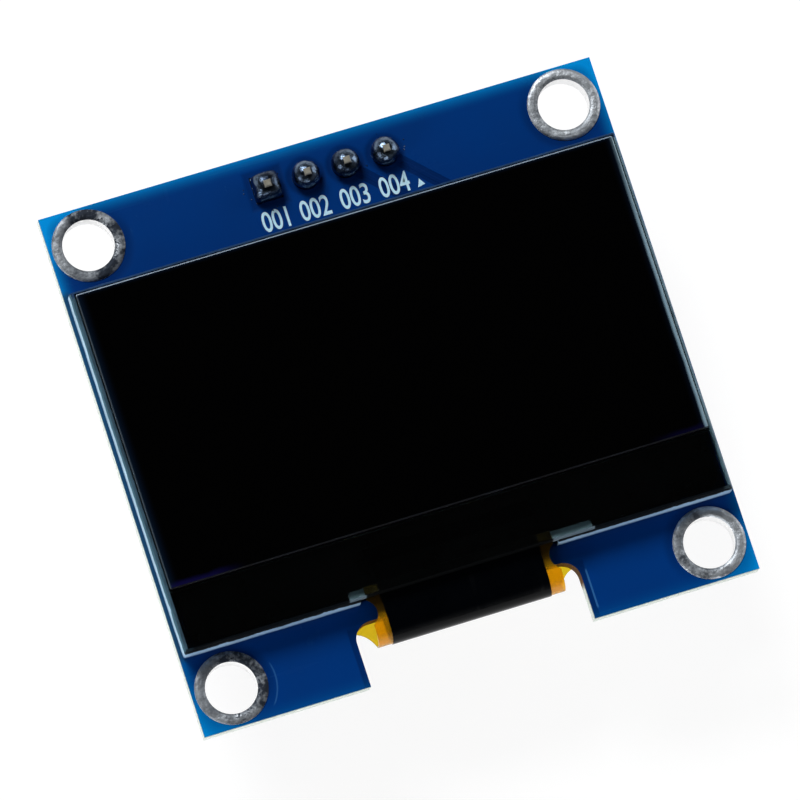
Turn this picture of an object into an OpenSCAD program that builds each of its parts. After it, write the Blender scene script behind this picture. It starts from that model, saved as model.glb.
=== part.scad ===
// Small monochrome OLED display module with a four-pin header soldered from behind.
// X runs along the header row, Y towards the header edge, Z out of the display.
// The origin is the centre of the four mounting holes, on the board's back face.

/* [Board] */
// Width of the board along the header row
board_w = 35.4; // [32:0.1:40]
// Height of the board, header edge to notched edge
board_h = 33.3; // [30:0.1:40]
// Thickness of the board
board_t = 1.2; // [0.8:0.1:1.6]
// Finished diameter of the mounting holes
hole_d = 3.2; // [2.2:0.1:4]
// Width of the tinned ring round each mounting hole
ring_w = 0.65; // [0.3:0.05:1]
// Board left between each ring and the side edge
ring_edge_x = 0.2; // [0.1:0.05:1]
// Board left between each ring and the top or bottom edge
ring_edge_y = 0.15; // [0.1:0.05:1]
// Width of the notch that lets the flex cable through
notch_w = 14.3; // [13.6:0.1:18]
// Depth of the notch in the board's lower edge
notch_depth = 3.85; // [3.5:0.05:4.6]
// Radius of the notch's inner corners
notch_r = 1.1; // [0.6:0.1:1.5]
// Thickness of the tinned copper pads and plated walls
plating_t = 0.05; // [0.03:0.01:0.08]

/* [Header] */
// Number of header pins
pin_count = 4; // [2:1:6]
// Distance between neighbouring pins
pin_pitch = 2.54; // [2.3:0.01:2.8]
// Side of the square pins
pin_side = 0.64; // [0.5:0.02:0.66]
// Distance of the pin row from the board's top edge
header_inset = 2.1; // [1.5:0.1:2.4]
// Clearance between a pin's corners and its plated hole
pin_clearance = 0.05; // [0.02:0.01:0.1]
// Width of the solder pad round each pin hole
pin_pad_w = 0.35; // [0.2:0.05:0.4]
// Height of the pins' ends above the board's front face
pin_proud = 1.45; // [1.2:0.05:1.8]
// Length of the pins beyond the plastic strip
pin_free_length = 6.0; // [4:0.5:10]
// Height of the plastic strip, away from the board
strip_h = 2.5; // [1.5:0.1:3]
// Height of the solder bead over the board
solder_h = 1.35; // [1:0.05:1.7]

/* [Display panel] */
// Board left beyond each side of the glass
glass_side_gap = 0.35; // [0.2:0.05:2]
// Gap between the upper mounting rings and the glass
glass_top_gap = 0.6; // [0.3:0.05:2]
// Gap between the glass and the lower mounting rings
glass_low_gap = 0.4; // [0.3:0.05:1]
// Thickness of each glass plate
glass_t = 0.7; // [0.5:0.05:1.1]
// Height of the front glass's ledge below the rear glass
ledge_h = 3.85; // [3.4:0.05:4.6]
// Rear glass left beyond each side of the picture area
picture_side_gap = 2.64; // [2.2:0.02:5]
// Rear glass left above and below the picture area
picture_end_gap = 2.22; // [2:0.02:4]
// Thickness of the light-emitting film
film_t = 0.02; // [0.01:0.01:0.03]
// Height of the epoxy seal between the glass plates
seal_t = 0.05; // [0.04:0.01:0.1]
// Thickness of the polariser sheet
polarizer_t = 0.18; // [0.1:0.02:0.3]
// Glass left bare round the polariser
polarizer_margin = 0.2; // [0.1:0.05:0.5]
// Thickness of the double-sided mounting tape
tape_t = 0.3; // [0.1:0.05:0.6]
// Thickness of the adhesive bead round the panel
bead_w = 0.13; // [0.08:0.01:0.15]
// Height of the adhesive bead over the board
bead_h = 1.35; // [1.1:0.05:1.6]

/* [Under the ledge] */
// Length of the driver chip
driver_w = 10.6; // [8:0.1:14]
// Width of the driver chip
driver_h = 1.0; // [0.8:0.05:1.2]
// Thickness of the driver chip
driver_t = 0.3; // [0.2:0.05:0.32]
// Thickness of the black tape where it covers the driver chip
ledge_tape_cover = 0.08; // [0.05:0.01:0.15]
// Glass left bare beyond each end of the black tape
ledge_tape_end = 0.5; // [0.3:0.05:1]
// Radius of the black tape's corners
ledge_tape_r = 1.0; // [0.5:0.1:1.5]

/* [Flex cable] */
// Thickness of the flex cable
flex_t = 0.1; // [0.06:0.01:0.14]
// Thickness of the black cover film
coverlay_t = 0.05; // [0.02:0.01:0.08]
// Width of the flex cable at the fold
fold_w = 11.9; // [11:0.1:12.4]
// Depth of the rounded neck cut into each side
neck_depth = 0.45; // [0.2:0.05:0.6]
// Width of the black cover film
coverlay_w = 10.1; // [9:0.1:10.6]
// Overlap of the flex cable under the front glass
bond_length = 0.7; // [0.5:0.05:1]
// Gap between the notch's edge and the start of the fold
fold_gap = 0.5; // [0.3:0.05:0.8]
// Radius of the flare where the flex cable widens behind the board
flare_r = 1.4; // [1.2:0.05:1.8]
// Number of soldered contacts
contact_count = 30; // [24:1:30]
// Distance between neighbouring contacts
contact_pitch = 0.65; // [0.6:0.01:0.68]
// Width of each contact
contact_w = 0.35; // [0.25:0.01:0.4]
// Length of each contact on the flex cable
contact_length = 1.8; // [1.2:0.1:2.4]
// Length of the flex cable's tail behind the board
tail_length = 6.8; // [5:0.1:7.4]
// Length of the black cover film behind the board
coverlay_tail = 1.6; // [1:0.1:2.4]

/* [Parts on the back] */
// Length of the chip capacitors and resistors
chip_l = 1.6; // [1.4:0.05:1.7]
// Width of the chip capacitors and resistors
chip_w = 0.8; // [0.6:0.05:0.9]
// Height of the chip capacitors
capacitor_h = 0.8; // [0.6:0.05:1]
// Height of the chip resistors
resistor_h = 0.45; // [0.35:0.05:0.55]
// Length of each chip's metal ends
chip_end = 0.32; // [0.2:0.02:0.4]
// Number of chip capacitors
capacitor_count = 6; // [4:1:6]
// Number of chip resistors
resistor_count = 7; // [5:1:7]
// Distance between neighbouring chips in a row
chip_pitch = 3.4; // [3:0.1:3.5]
// Length of the regulator's body
regulator_l = 2.9; // [2.7:0.1:3.1]
// Width of the regulator's body
regulator_w = 1.3; // [1.2:0.1:1.6]
// Height of the regulator's body
regulator_h = 1.0; // [0.9:0.05:1.2]

/* [Hidden] */
$fn = 48;
// Overrun that lets a cut pass cleanly through a face
cut = 0.5;

// Levels along Z, from the board's back face at zero
front_z = board_t;
rear_glass_z = front_z + tape_t;
seal_z = rear_glass_z + glass_t;
front_glass_z = seal_z + seal_t;
polarizer_z = front_glass_z + glass_t;

// Places on the board
ring_d = hole_d + 2 * ring_w;
hole_x = board_w / 2 - ring_edge_x - ring_d / 2;
hole_y = board_h / 2 - ring_edge_y - ring_d / 2;
notch_y = -board_h / 2 + notch_depth;

// Header: pins, plastic strip and solder
header_y = board_h / 2 - header_inset;
pin_hole_d = pin_side * sqrt(2) + 2 * pin_clearance;
pin_pad_d = pin_hole_d + 2 * pin_pad_w;
strip_chamfer = 0.45;
pin_tip_length = 0.3;
pin_tip_side = pin_side / 2;
pin_front_z = front_z + pin_proud;
pin_back_z = -plating_t - strip_h - pin_free_length;
solder_overhang = 0.03;
solder_r = pin_pad_d / 2 + solder_overhang;
solder_foot_h = 0.25;
solder_foot_inset = 0.05;
solder_clip_w = 2 * pin_pad_d;

// Outlines of the panel, which lies between the upper and the lower mounting rings
glass_w = board_w - 2 * glass_side_gap;
glass_top_y = hole_y - ring_d / 2 - glass_top_gap;
glass_low_y = -hole_y + ring_d / 2 + glass_low_gap;
glass_h = glass_top_y - glass_low_y;
panel_y = (glass_top_y + glass_low_y) / 2;
rear_glass_h = glass_h - ledge_h;
rear_glass_y = glass_top_y - rear_glass_h / 2;
tape_inset = 0.4;
seal_inset = 0.2;
seal_wall = 1.2;
cavity_w = glass_w - 2 * (seal_inset + seal_wall);
cavity_h = rear_glass_h - 2 * (seal_inset + seal_wall);
recess_depth = glass_t / 2;
desiccant_inset = 1.0;
desiccant_t = 0.2;
film_margin = 0.3;
film_w = glass_w - 2 * (picture_side_gap - film_margin);
film_h = rear_glass_h - 2 * (picture_end_gap - film_margin);
bead_r = 0.3;
bead_clearance = 0.35;

// Places under the ledge
ledge_tape_w = glass_w - 2 * ledge_tape_end;
ledge_tape_t = driver_t + ledge_tape_cover;
ledge_tape_inset = 0.3;
ledge_tape_gap = 0.1;
ledge_tape_low_y = glass_low_y + ledge_tape_inset;
ledge_tape_top_y = glass_low_y + ledge_h - ledge_tape_gap;
bond_top_y = glass_low_y + bond_length;
driver_gap = 1.2;
driver_y = bond_top_y + driver_gap + driver_h / 2;
resin_inset = 0.08;
resin_low_y = glass_low_y + resin_inset;
resin_h = bond_length - 2 * resin_inset;
resin_t = 0.15;
resin_r = 0.2;
resin_left_w = 1.0;
resin_right_w = 2.6;
pocket_gap = 0.02;

// Path of the flex cable: under the ledge, round the fold and along the board's back
fold_in_r = (front_glass_z - flex_t + plating_t) / 2;
fold_out_r = fold_in_r + flex_t;
fold_z = (front_glass_z - flex_t - plating_t) / 2;
fold_y = notch_y - fold_gap;
fold_end_y = fold_y - fold_out_r;
coverlay_gap = 0.05;
coverlay_top_y = glass_low_y - coverlay_gap;
tail_end_y = fold_y + tail_length;
tail_side_margin = 0.4;
tail_w = contact_count * contact_pitch + 2 * tail_side_margin;
tail_corner_r = 0.5;
neck_margin = 0.05;
neck_length = coverlay_top_y - fold_y - 2 * neck_margin;
neck_r = (neck_length * neck_length / 4 + neck_depth * neck_depth) / (2 * neck_depth);
neck_y = (coverlay_top_y + fold_y) / 2;

// Contacts of the flex cable and the pads under them
contact_t = 0.03;
contact_inset = 0.1;
contact_z = plating_t + flex_t + contact_t;
pad_reach = 0.7;
flex_bead_h = 0.2;
flex_bead_gap = 0.2;

// Chip parts on the back, in two rows, and the regulator
capacitor_row_gap = 2.4;
row_pitch = 4.0;
regulator_gap = 4.6;
capacitor_row_y = tail_end_y + pad_reach + capacitor_row_gap;
resistor_row_y = capacitor_row_y + row_pitch;
regulator_x = 5.6;
regulator_y = resistor_row_y + regulator_gap;
chip_end_step = 0.02;
chip_pad_reach = 0.35;
fillet_gap = 0.07;
fillet_reach = chip_pad_reach - fillet_gap;
fillet_rise = 0.6;
lead_w = 0.4;
lead_pad_margin = 0.1;
lead_pad_w = lead_w + 2 * lead_pad_margin;
lead_t = 0.12;
lead_pitch = 0.95;
lead_foot = 0.35;
lead_reach = 0.6;
regulator_lift = 0.1;
regulator_draft = 0.12;

board_blue = [0.00, 0.20, 0.45];
tin = [0.62, 0.62, 0.64];
solder_grey = [0.45, 0.46, 0.48];
gold = [0.83, 0.68, 0.35];
clear_glass = [0.35, 0.50, 0.60, 0.6];
amber = [0.85, 0.52, 0.06];
black = [0.03, 0.03, 0.04];

function ids(name, count) = [for (i = [1:count]) str(name, "_", i)];
function centred(i, count, pitch) = (i - (count + 1) / 2) * pitch;
function corner_x(i) = (i == 1 || i == 3 ? -1 : 1) * hole_x;
function corner_y(i) = (i <= 2 ? 1 : -1) * hole_y;
function pin_x(i) = centred(i, pin_count, pin_pitch);

// ---- Shapes that several sub-parts share ----

// A flat plate of the given outline size, its middle at [0, y] and its back at z
module plate(w, h, t, y = 0, z = 0) {
    translate([-w / 2, y - h / 2, z]) cube([w, h, t]);
}

// An outline with rounded corners, centred on the origin
module rounded_outline(w, h, r) {
    square([w - 2 * r, h], center = true);
    square([w, h - 2 * r], center = true);
    for (sx = [-1, 1], sy = [-1, 1]) {
        translate([sx * (w / 2 - r), sy * (h / 2 - r)]) circle(r = r);
    }
}

// A plated through hole: a pad on each face, joined by a thin wall
module plated_hole(d, pad_d, square_pad = false) {
    difference() {
        union() {
            for (z = [-plating_t, front_z]) {
                if (square_pad) {
                    plate(pad_d, pad_d, plating_t, 0, z);
                } else {
                    translate([0, 0, z]) cylinder(h = plating_t, d = pad_d);
                }
            }
            cylinder(h = front_z, d = d + 2 * plating_t);
        }
        translate([0, 0, -plating_t - cut]) cylinder(h = front_z + 2 * (plating_t + cut), d = d);
    }
}

// Turns a shape whose axis is Z so that the axis is X, with local X along Y and local Y along Z
module along_x() {
    rotate([90, 0, 90]) children();
}

// A curved strip round the fold's axis, from angle a, counted from +Y towards +Z
module fold_strip(r, t, w, a, turn) {
    translate([0, fold_y, fold_z]) along_x() rotate([0, 0, a])
        rotate_extrude(angle = turn, $fn = 96) translate([r, -w / 2]) square([t, w]);
}

// Puts what is modelled on top of Z = 0 onto the board's back face
module on_back() {
    mirror([0, 0, 1]) children();
}

// ---- Board and header ----

module pcb() {
    color(board_blue) difference() {
        plate(board_w, board_h, board_t);
        translate([0, 0, -cut]) linear_extrude(board_t + 2 * cut) notch_outline();
        for (i = [1:4]) {
            translate([corner_x(i), corner_y(i), -cut])
                cylinder(h = board_t + 2 * cut, d = hole_d + 2 * plating_t);
        }
        for (i = [1:pin_count]) {
            translate([pin_x(i), header_y, -cut])
                cylinder(h = board_t + 2 * cut, d = pin_hole_d + 2 * plating_t);
        }
    }
}

// The notch's outline, open past the board's lower edge
module notch_outline() {
    overrun = notch_r + cut;
    translate([0, notch_y - (notch_depth + overrun) / 2])
        rounded_outline(notch_w, notch_depth + overrun, notch_r);
}

module mounting_ring(i) {
    color(tin) translate([corner_x(i), corner_y(i), 0]) plated_hole(hole_d, ring_d);
}

module header_pad(i) {
    color(tin) translate([pin_x(i), header_y, 0]) plated_hole(pin_hole_d, pin_pad_d, i == 1);
}

// A square pin with a short taper at each end, made where two profiles cross
module header_pin(i) {
    color(gold) translate([pin_x(i), header_y, 0]) intersection() {
        translate([0, pin_side, 0]) rotate([90, 0, 0]) linear_extrude(2 * pin_side) pin_profile();
        translate([-pin_side, 0, 0]) rotate([90, 0, 90]) linear_extrude(2 * pin_side) pin_profile();
    }
}

// The pin seen from one side
module pin_profile() {
    side = pin_side / 2;
    tip = pin_tip_side / 2;
    polygon([
        [-tip, pin_back_z], [tip, pin_back_z],
        [side, pin_back_z + pin_tip_length], [side, pin_front_z - pin_tip_length],
        [tip, pin_front_z], [-tip, pin_front_z],
        [-side, pin_front_z - pin_tip_length], [-side, pin_back_z + pin_tip_length]
    ]);
}

// Solder that fills the plated hole and stands as a round bead on the front pad
module solder_joint(i) {
    pad_z = front_z + plating_t;
    foot_d = pin_pad_d - 2 * solder_foot_inset;
    color(solder_grey) difference() {
        translate([pin_x(i), header_y, 0]) union() {
            translate([0, 0, -plating_t]) cylinder(h = front_z + 2 * plating_t, d = pin_hole_d);
            translate([0, 0, pad_z]) intersection() {
                translate([0, 0, solder_h - solder_r]) sphere(r = solder_r);
                plate(solder_clip_w, solder_clip_w, solder_h);
            }
            translate([0, 0, pad_z]) solder_foot(i, foot_d);
        }
        header_pin(i);
    }
}

// The skirt of a solder bead, square on the first pad
module solder_foot(i, foot_d) {
    if (i == 1) {
        plate(foot_d, foot_d, solder_foot_h / 2);
    }
    cylinder(h = solder_foot_h, r1 = foot_d / 2, r2 = solder_r - solder_foot_inset);
}

// The plastic strip behind the board, one eight-sided cell for each pin
module header_strip() {
    color(black) difference() {
        for (i = [1:pin_count]) {
            translate([pin_x(i), header_y, -plating_t - strip_h]) linear_extrude(strip_h) strip_cell();
        }
        for (i = [1:pin_count]) {
            translate([pin_x(i), 0, -plating_t - strip_h - cut])
                plate(pin_side, pin_side, strip_h + 2 * cut, header_y);
        }
    }
}

module strip_cell() {
    side = pin_pitch / 2;
    flat = side - strip_chamfer;
    polygon([
        [-flat, -side], [flat, -side], [side, -flat], [side, flat],
        [flat, side], [-flat, side], [-side, flat], [-side, -flat]
    ]);
}

// ---- Display panel ----

module mounting_tape() {
    color("white") plate(
        glass_w - 2 * tape_inset, rear_glass_h - 2 * tape_inset, tape_t, rear_glass_y, front_z);
}

// The bead of adhesive that holds the panel's edge, open where the flex cable comes out
module adhesive_bead() {
    gap_w = fold_w + 2 * bead_clearance;
    color([0.62, 0.75, 0.85]) difference() {
        translate([0, panel_y, front_z]) linear_extrude(bead_h)
            rounded_outline(glass_w + 2 * bead_w, glass_h + 2 * bead_w, bead_r);
        plate(glass_w, glass_h, bead_h + 2 * cut, panel_y, front_z - cut);
        plate(gap_w, 2 * cut, bead_h + 2 * cut, glass_low_y, front_z - cut);
    }
}

// The back plate, with a shallow recess that holds the drying sheet
module rear_glass() {
    color(clear_glass) difference() {
        plate(glass_w, rear_glass_h, glass_t, rear_glass_y, rear_glass_z);
        plate(cavity_w, cavity_h, recess_depth + cut, rear_glass_y, seal_z - recess_depth);
    }
}

module desiccant() {
    color([0.85, 0.86, 0.88]) plate(
        cavity_w - 2 * desiccant_inset, cavity_h - 2 * desiccant_inset, desiccant_t,
        rear_glass_y, seal_z - recess_depth);
}

module edge_seal() {
    color([0.25, 0.27, 0.30]) difference() {
        plate(glass_w - 2 * seal_inset, rear_glass_h - 2 * seal_inset, seal_t, rear_glass_y, seal_z);
        plate(cavity_w, cavity_h, seal_t + 2 * cut, rear_glass_y, seal_z - cut);
    }
}

// The light-emitting layers and their cathode, on the back of the front glass
module oled_film() {
    color([0.10, 0.10, 0.14]) plate(film_w, film_h, film_t, rear_glass_y, front_glass_z - film_t);
}

module front_glass() {
    color(clear_glass) plate(glass_w, glass_h, glass_t, panel_y, front_glass_z);
}

module polarizer() {
    color(black) plate(
        glass_w - 2 * polarizer_margin, rear_glass_h - polarizer_margin, polarizer_t,
        rear_glass_y - polarizer_margin / 2, polarizer_z);
}

// ---- Under the ledge ----

module driver_chip() {
    color([0.20, 0.20, 0.22]) plate(driver_w, driver_h, driver_t, driver_y, front_glass_z - driver_t);
}

// The black tape, with pockets for the chip, the cable's end and the resin beside it
module ledge_tape() {
    tape_h = ledge_tape_top_y - ledge_tape_low_y;
    color(black) difference() {
        translate([0, ledge_tape_low_y + tape_h / 2, front_glass_z - ledge_tape_t])
            linear_extrude(ledge_tape_t) rounded_outline(ledge_tape_w, tape_h, ledge_tape_r);
        pocket(0, driver_w, driver_y - driver_h / 2, driver_h, driver_t);
        pocket(0, fold_w, glass_low_y, bond_length, flex_t);
        pocket(resin_x(-1), resin_left_w, resin_low_y, resin_h, resin_t);
        pocket(resin_x(1), resin_right_w, resin_low_y, resin_h, resin_t);
    }
}

// A recess in the tape's upper face, a little wider than what lies in it
module pocket(x, w, y, h, depth) {
    translate([x - w / 2 - pocket_gap, y - pocket_gap, front_glass_z - depth])
        cube([w + 2 * pocket_gap, h + 2 * pocket_gap, depth + cut]);
}

function resin_w(side) = side < 0 ? resin_left_w : resin_right_w;
function resin_x(side) = side * (fold_w + resin_w(side)) / 2;

// The clear resin that seals one corner of the cable's bond
module bond_resin(side) {
    color([0.55, 0.60, 0.65]) translate([resin_x(side), resin_low_y + resin_h / 2, front_glass_z - resin_t])
        linear_extrude(resin_t) union() {
            rounded_outline(resin_w(side), resin_h, resin_r);
            translate([-side * resin_w(side) / 4, 0]) square([resin_w(side) / 2, resin_h], center = true);
        }
}

// ---- Flex cable ----

// The cable in one piece: bonded end with its neck, fold, and a tail that flares behind the board
module flex_cable() {
    color(amber) union() {
        difference() {
            translate([-fold_w / 2, fold_y, front_glass_z - flex_t])
                cube([fold_w, bond_top_y - fold_y, flex_t]);
            for (side = [-1, 1]) {
                translate([side * (fold_w / 2 - neck_depth + neck_r), neck_y, front_glass_z - flex_t - cut])
                    cylinder(h = flex_t + 2 * cut, r = neck_r);
            }
        }
        fold_strip(fold_in_r, flex_t, fold_w, 90, 90);
        intersection() {
            union() {
                fold_strip(fold_in_r, flex_t, tail_w, 180, 90);
                translate([-tail_w / 2, fold_y, -plating_t - flex_t]) cube([tail_w, tail_length, flex_t]);
            }
            translate([0, 0, -plating_t - flex_t - cut])
                linear_extrude(fold_out_r + flex_t + 2 * cut) tail_outline();
        }
    }
}

// The tail seen from the front: a neck as wide as the fold, two round flares and the wide end
module tail_outline() {
    wide_low_y = fold_end_y + flare_r;
    translate([-fold_w / 2, fold_end_y - cut]) square([fold_w, tail_length]);
    for (side = [-1, 1]) {
        translate([side * fold_w / 2, fold_end_y]) on_side(side) difference() {
            square(flare_r);
            translate([flare_r, 0]) circle(r = flare_r);
        }
    }
    translate([0, (wide_low_y + tail_end_y) / 2])
        rounded_outline(tail_w, tail_end_y - wide_low_y, tail_corner_r);
}

// Leaves a shape on the right-hand side for 1, or mirrors it to the left for -1
module on_side(side) {
    mirror([side < 0 ? 1 : 0, 0, 0]) children();
}

// The black film on the cable's outer face, from the glass's edge round the fold
module flex_coverlay() {
    color(black) union() {
        translate([-coverlay_w / 2, fold_y, front_glass_z])
            cube([coverlay_w, coverlay_top_y - fold_y, coverlay_t]);
        fold_strip(fold_out_r, coverlay_t, coverlay_w, 90, 180);
        translate([-coverlay_w / 2, fold_y, -plating_t - flex_t - coverlay_t])
            cube([coverlay_w, coverlay_tail, coverlay_t]);
    }
}

module flex_contacts() {
    color(tin) on_back() for (i = [1:contact_count]) {
        translate([centred(i, contact_count, contact_pitch), 0, 0])
            plate(contact_w, contact_length - contact_inset, contact_t,
                tail_end_y - (contact_length + contact_inset) / 2, plating_t + flex_t);
    }
}

module flex_pads() {
    color(tin) on_back() for (i = [1:contact_count]) {
        translate([centred(i, contact_count, contact_pitch), 0, 0])
            plate(contact_w, contact_length + pad_reach, plating_t,
                tail_end_y + (pad_reach - contact_length) / 2);
    }
}

// The solder over each contact, down the cable's end and onto its pad
module flex_solder() {
    color(solder_grey) on_back() for (i = [1:contact_count]) {
        translate([centred(i, contact_count, contact_pitch) - contact_w / 2, tail_end_y, 0])
            rotate([90, 0, 90]) linear_extrude(contact_w) flex_solder_profile();
    }
}

module flex_solder_profile() {
    crown = contact_z + flex_bead_h;
    heel_y = flex_bead_gap - contact_length;
    toe_y = pad_reach - flex_bead_gap;
    polygon([
        [heel_y, contact_z], [2 * heel_y / 3, crown - flex_bead_h / 4],
        [heel_y / 3, crown], [0, crown - flex_bead_h / 2],
        [toe_y, plating_t], [0, plating_t],
        [0, plating_t + flex_t], [-contact_inset, plating_t + flex_t], [-contact_inset, contact_z]
    ]);
}

// ---- Parts on the back ----

function capacitor_x(i) = centred(i, capacitor_count, chip_pitch);
function resistor_x(i) = centred(i, resistor_count, chip_pitch);

// A chip part standing on its pads: a body between two slightly larger metal ends
module chip(x, y, h) {
    body_w = chip_w - 2 * chip_end_step;
    body_h = h - 2 * chip_end_step;
    on_back() translate([x, y, plating_t]) union() {
        plate(body_w, chip_l - chip_end, body_h, 0, chip_end_step);
        for (end = [-1, 1]) {
            plate(chip_w, chip_end, h, end * (chip_l - chip_end) / 2);
        }
    }
}

module capacitor(i) {
    color([0.62, 0.50, 0.36]) chip(capacitor_x(i), capacitor_row_y, capacitor_h);
}

module resistor(i) {
    color(black) chip(resistor_x(i), resistor_row_y, resistor_h);
}

// The two pads under a chip part
module chip_pad_pair(x, y) {
    pad_l = chip_end + chip_pad_reach;
    for (end = [-1, 1]) {
        translate([x, 0, 0])
            plate(chip_w, pad_l, plating_t, y + end * (chip_l / 2 + chip_pad_reach - pad_l / 2));
    }
}

// The two fillets that climb a chip part's ends
module chip_fillet_pair(x, y, h) {
    for (end = [-1, 1]) {
        translate([x - chip_w / 2, y, plating_t]) fillet_wedge(
            end, chip_l / 2, fillet_reach, h * fillet_rise, chip_w);
    }
}

// A wedge of solder from an upright end at distance y, for either end
module fillet_wedge(end, y, reach, rise, w) {
    rotate([90, 0, 90]) linear_extrude(w)
        polygon([[end * y, 0], [end * (y + reach), 0], [end * (y + reach / 3), rise / 3], [end * y, rise]]);
}

module chip_pads() {
    color(tin) on_back() {
        for (i = [1:capacitor_count]) chip_pad_pair(capacitor_x(i), capacitor_row_y);
        for (i = [1:resistor_count]) chip_pad_pair(resistor_x(i), resistor_row_y);
        for (lead = [1:3]) {
            translate([lead_x(lead), 0, 0])
                plate(lead_pad_w, lead_foot + 2 * chip_pad_reach, plating_t, lead_pad_y(lead));
        }
    }
}

module chip_solder() {
    color(solder_grey) on_back() {
        for (i = [1:capacitor_count]) chip_fillet_pair(capacitor_x(i), capacitor_row_y, capacitor_h);
        for (i = [1:resistor_count]) chip_fillet_pair(resistor_x(i), resistor_row_y, resistor_h);
        for (lead = [1:3]) {
            translate([lead_x(lead) - lead_w / 2, regulator_y, plating_t]) fillet_wedge(
                lead_side(lead), regulator_w / 2 + lead_reach, fillet_reach, lead_t, lead_w);
        }
    }
}

// Leads 1 and 2 share one side of the regulator, lead 3 stands alone on the other
function lead_side(lead) = lead < 3 ? -1 : 1;
function lead_x(lead) = regulator_x + (lead == 3 ? 0 : centred(lead, 2, 2 * lead_pitch));
function lead_pad_y(lead) = regulator_y + lead_side(lead) * (regulator_w / 2 + lead_reach - lead_foot / 2);

// The moulded body, drafted above and below its middle, made where two profiles cross
module regulator_body() {
    color(black) on_back() translate([regulator_x, regulator_y, plating_t + regulator_lift]) intersection() {
        translate([0, regulator_w, 0]) rotate([90, 0, 0])
            linear_extrude(2 * regulator_w) drafted_profile(regulator_l, regulator_h - regulator_lift);
        translate([-regulator_l, 0, 0]) rotate([90, 0, 90])
            linear_extrude(2 * regulator_l) drafted_profile(regulator_w, regulator_h - regulator_lift);
    }
}

module drafted_profile(w, h) {
    side = w / 2;
    face = side - regulator_draft;
    polygon([[-face, 0], [face, 0], [side, h / 2], [face, h], [-face, h], [-side, h / 2]]);
}

// Three bent leads, each from the body's middle down to its pad
module regulator_leads() {
    color(tin) on_back() for (lead = [1:3]) {
        translate([lead_x(lead) - lead_w / 2, regulator_y, plating_t])
            rotate([90, 0, 90]) linear_extrude(lead_w) lead_profile(lead_side(lead));
    }
}

// A lead seen from one side, its root shaped to the drafted body
module lead_profile(side) {
    root = regulator_w / 2;
    toe = root + lead_reach;
    heel = toe - lead_foot;
    bend = lead_t / 2;
    middle = regulator_lift + (regulator_h - regulator_lift) / 2;
    root_step = regulator_draft * lead_t / (regulator_h - regulator_lift);
    polygon([
        [side * toe, 0], [side * toe, lead_t], [side * (heel + bend), lead_t],
        [side * (heel - bend), middle + bend], [side * (root - root_step), middle + bend],
        [side * root, middle], [side * (root - root_step), middle - bend],
        [side * (heel - 3 * bend), middle - bend], [side * (heel - bend), 0]
    ]);
}

// ---- The pieces, one node each ----

pcb();
for (i = [1:4]) mounting_ring(i);
for (i = [1:pin_count]) header_pad(i);
for (i = [1:pin_count]) header_pin(i);
for (i = [1:pin_count]) solder_joint(i);
header_strip();
mounting_tape();
adhesive_bead();
rear_glass();
desiccant();
edge_seal();
oled_film();
front_glass();
polarizer();
driver_chip();
ledge_tape();
bond_resin(-1);  // bond_resin_left
bond_resin(1);  // bond_resin_right
flex_cable();
flex_coverlay();
flex_contacts();
flex_pads();
flex_solder();
regulator_body();
regulator_leads();
for (i = [1:capacitor_count]) capacitor(i);
for (i = [1:resistor_count]) resistor(i);
chip_pads();
chip_solder();
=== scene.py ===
"""Dresses a small OLED display module and lights it on a pale floor.

Every length below is in millimetres unless its name ends in _m, and colours are written as the
0 to 255 values that they show. The axes are the part's own: X along the header row, Y towards the
header edge, Z out of the display, with the board's back face at Z = 0.
"""
import logging
import math
from collections.abc import Callable
from dataclasses import dataclass, field
from enum import Enum
from functools import cached_property

import bmesh
import bpy
from mathutils import Matrix, Vector, noise


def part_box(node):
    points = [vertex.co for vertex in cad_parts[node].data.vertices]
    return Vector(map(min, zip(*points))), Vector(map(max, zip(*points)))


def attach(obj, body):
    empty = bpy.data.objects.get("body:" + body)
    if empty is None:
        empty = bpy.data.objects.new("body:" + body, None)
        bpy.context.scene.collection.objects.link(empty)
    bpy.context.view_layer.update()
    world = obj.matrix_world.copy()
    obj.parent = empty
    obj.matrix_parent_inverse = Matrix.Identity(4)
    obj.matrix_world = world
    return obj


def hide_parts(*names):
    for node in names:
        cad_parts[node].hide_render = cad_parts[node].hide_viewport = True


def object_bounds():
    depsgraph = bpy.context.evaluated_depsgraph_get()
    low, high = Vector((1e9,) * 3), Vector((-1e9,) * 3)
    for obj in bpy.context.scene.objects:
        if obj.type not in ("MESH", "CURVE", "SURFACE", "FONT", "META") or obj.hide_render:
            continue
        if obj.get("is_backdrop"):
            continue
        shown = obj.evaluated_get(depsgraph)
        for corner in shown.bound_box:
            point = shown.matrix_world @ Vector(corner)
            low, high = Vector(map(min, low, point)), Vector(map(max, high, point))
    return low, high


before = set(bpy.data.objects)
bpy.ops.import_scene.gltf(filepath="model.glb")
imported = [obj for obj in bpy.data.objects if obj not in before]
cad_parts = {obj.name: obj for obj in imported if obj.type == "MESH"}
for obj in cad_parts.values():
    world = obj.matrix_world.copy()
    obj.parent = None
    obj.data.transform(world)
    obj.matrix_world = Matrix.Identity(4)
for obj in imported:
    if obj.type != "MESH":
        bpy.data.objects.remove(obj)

log = logging.getLogger("display_module")
MM = 0.001
ROOT = "root"
MADE: dict[str, bpy.types.Material] = {}

Socket = bpy.types.NodeSocket
Point2 = tuple[float, float]
Point3 = tuple[float, float, float]


# ---------------------------------------------------------------- colours and node helpers

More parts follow.
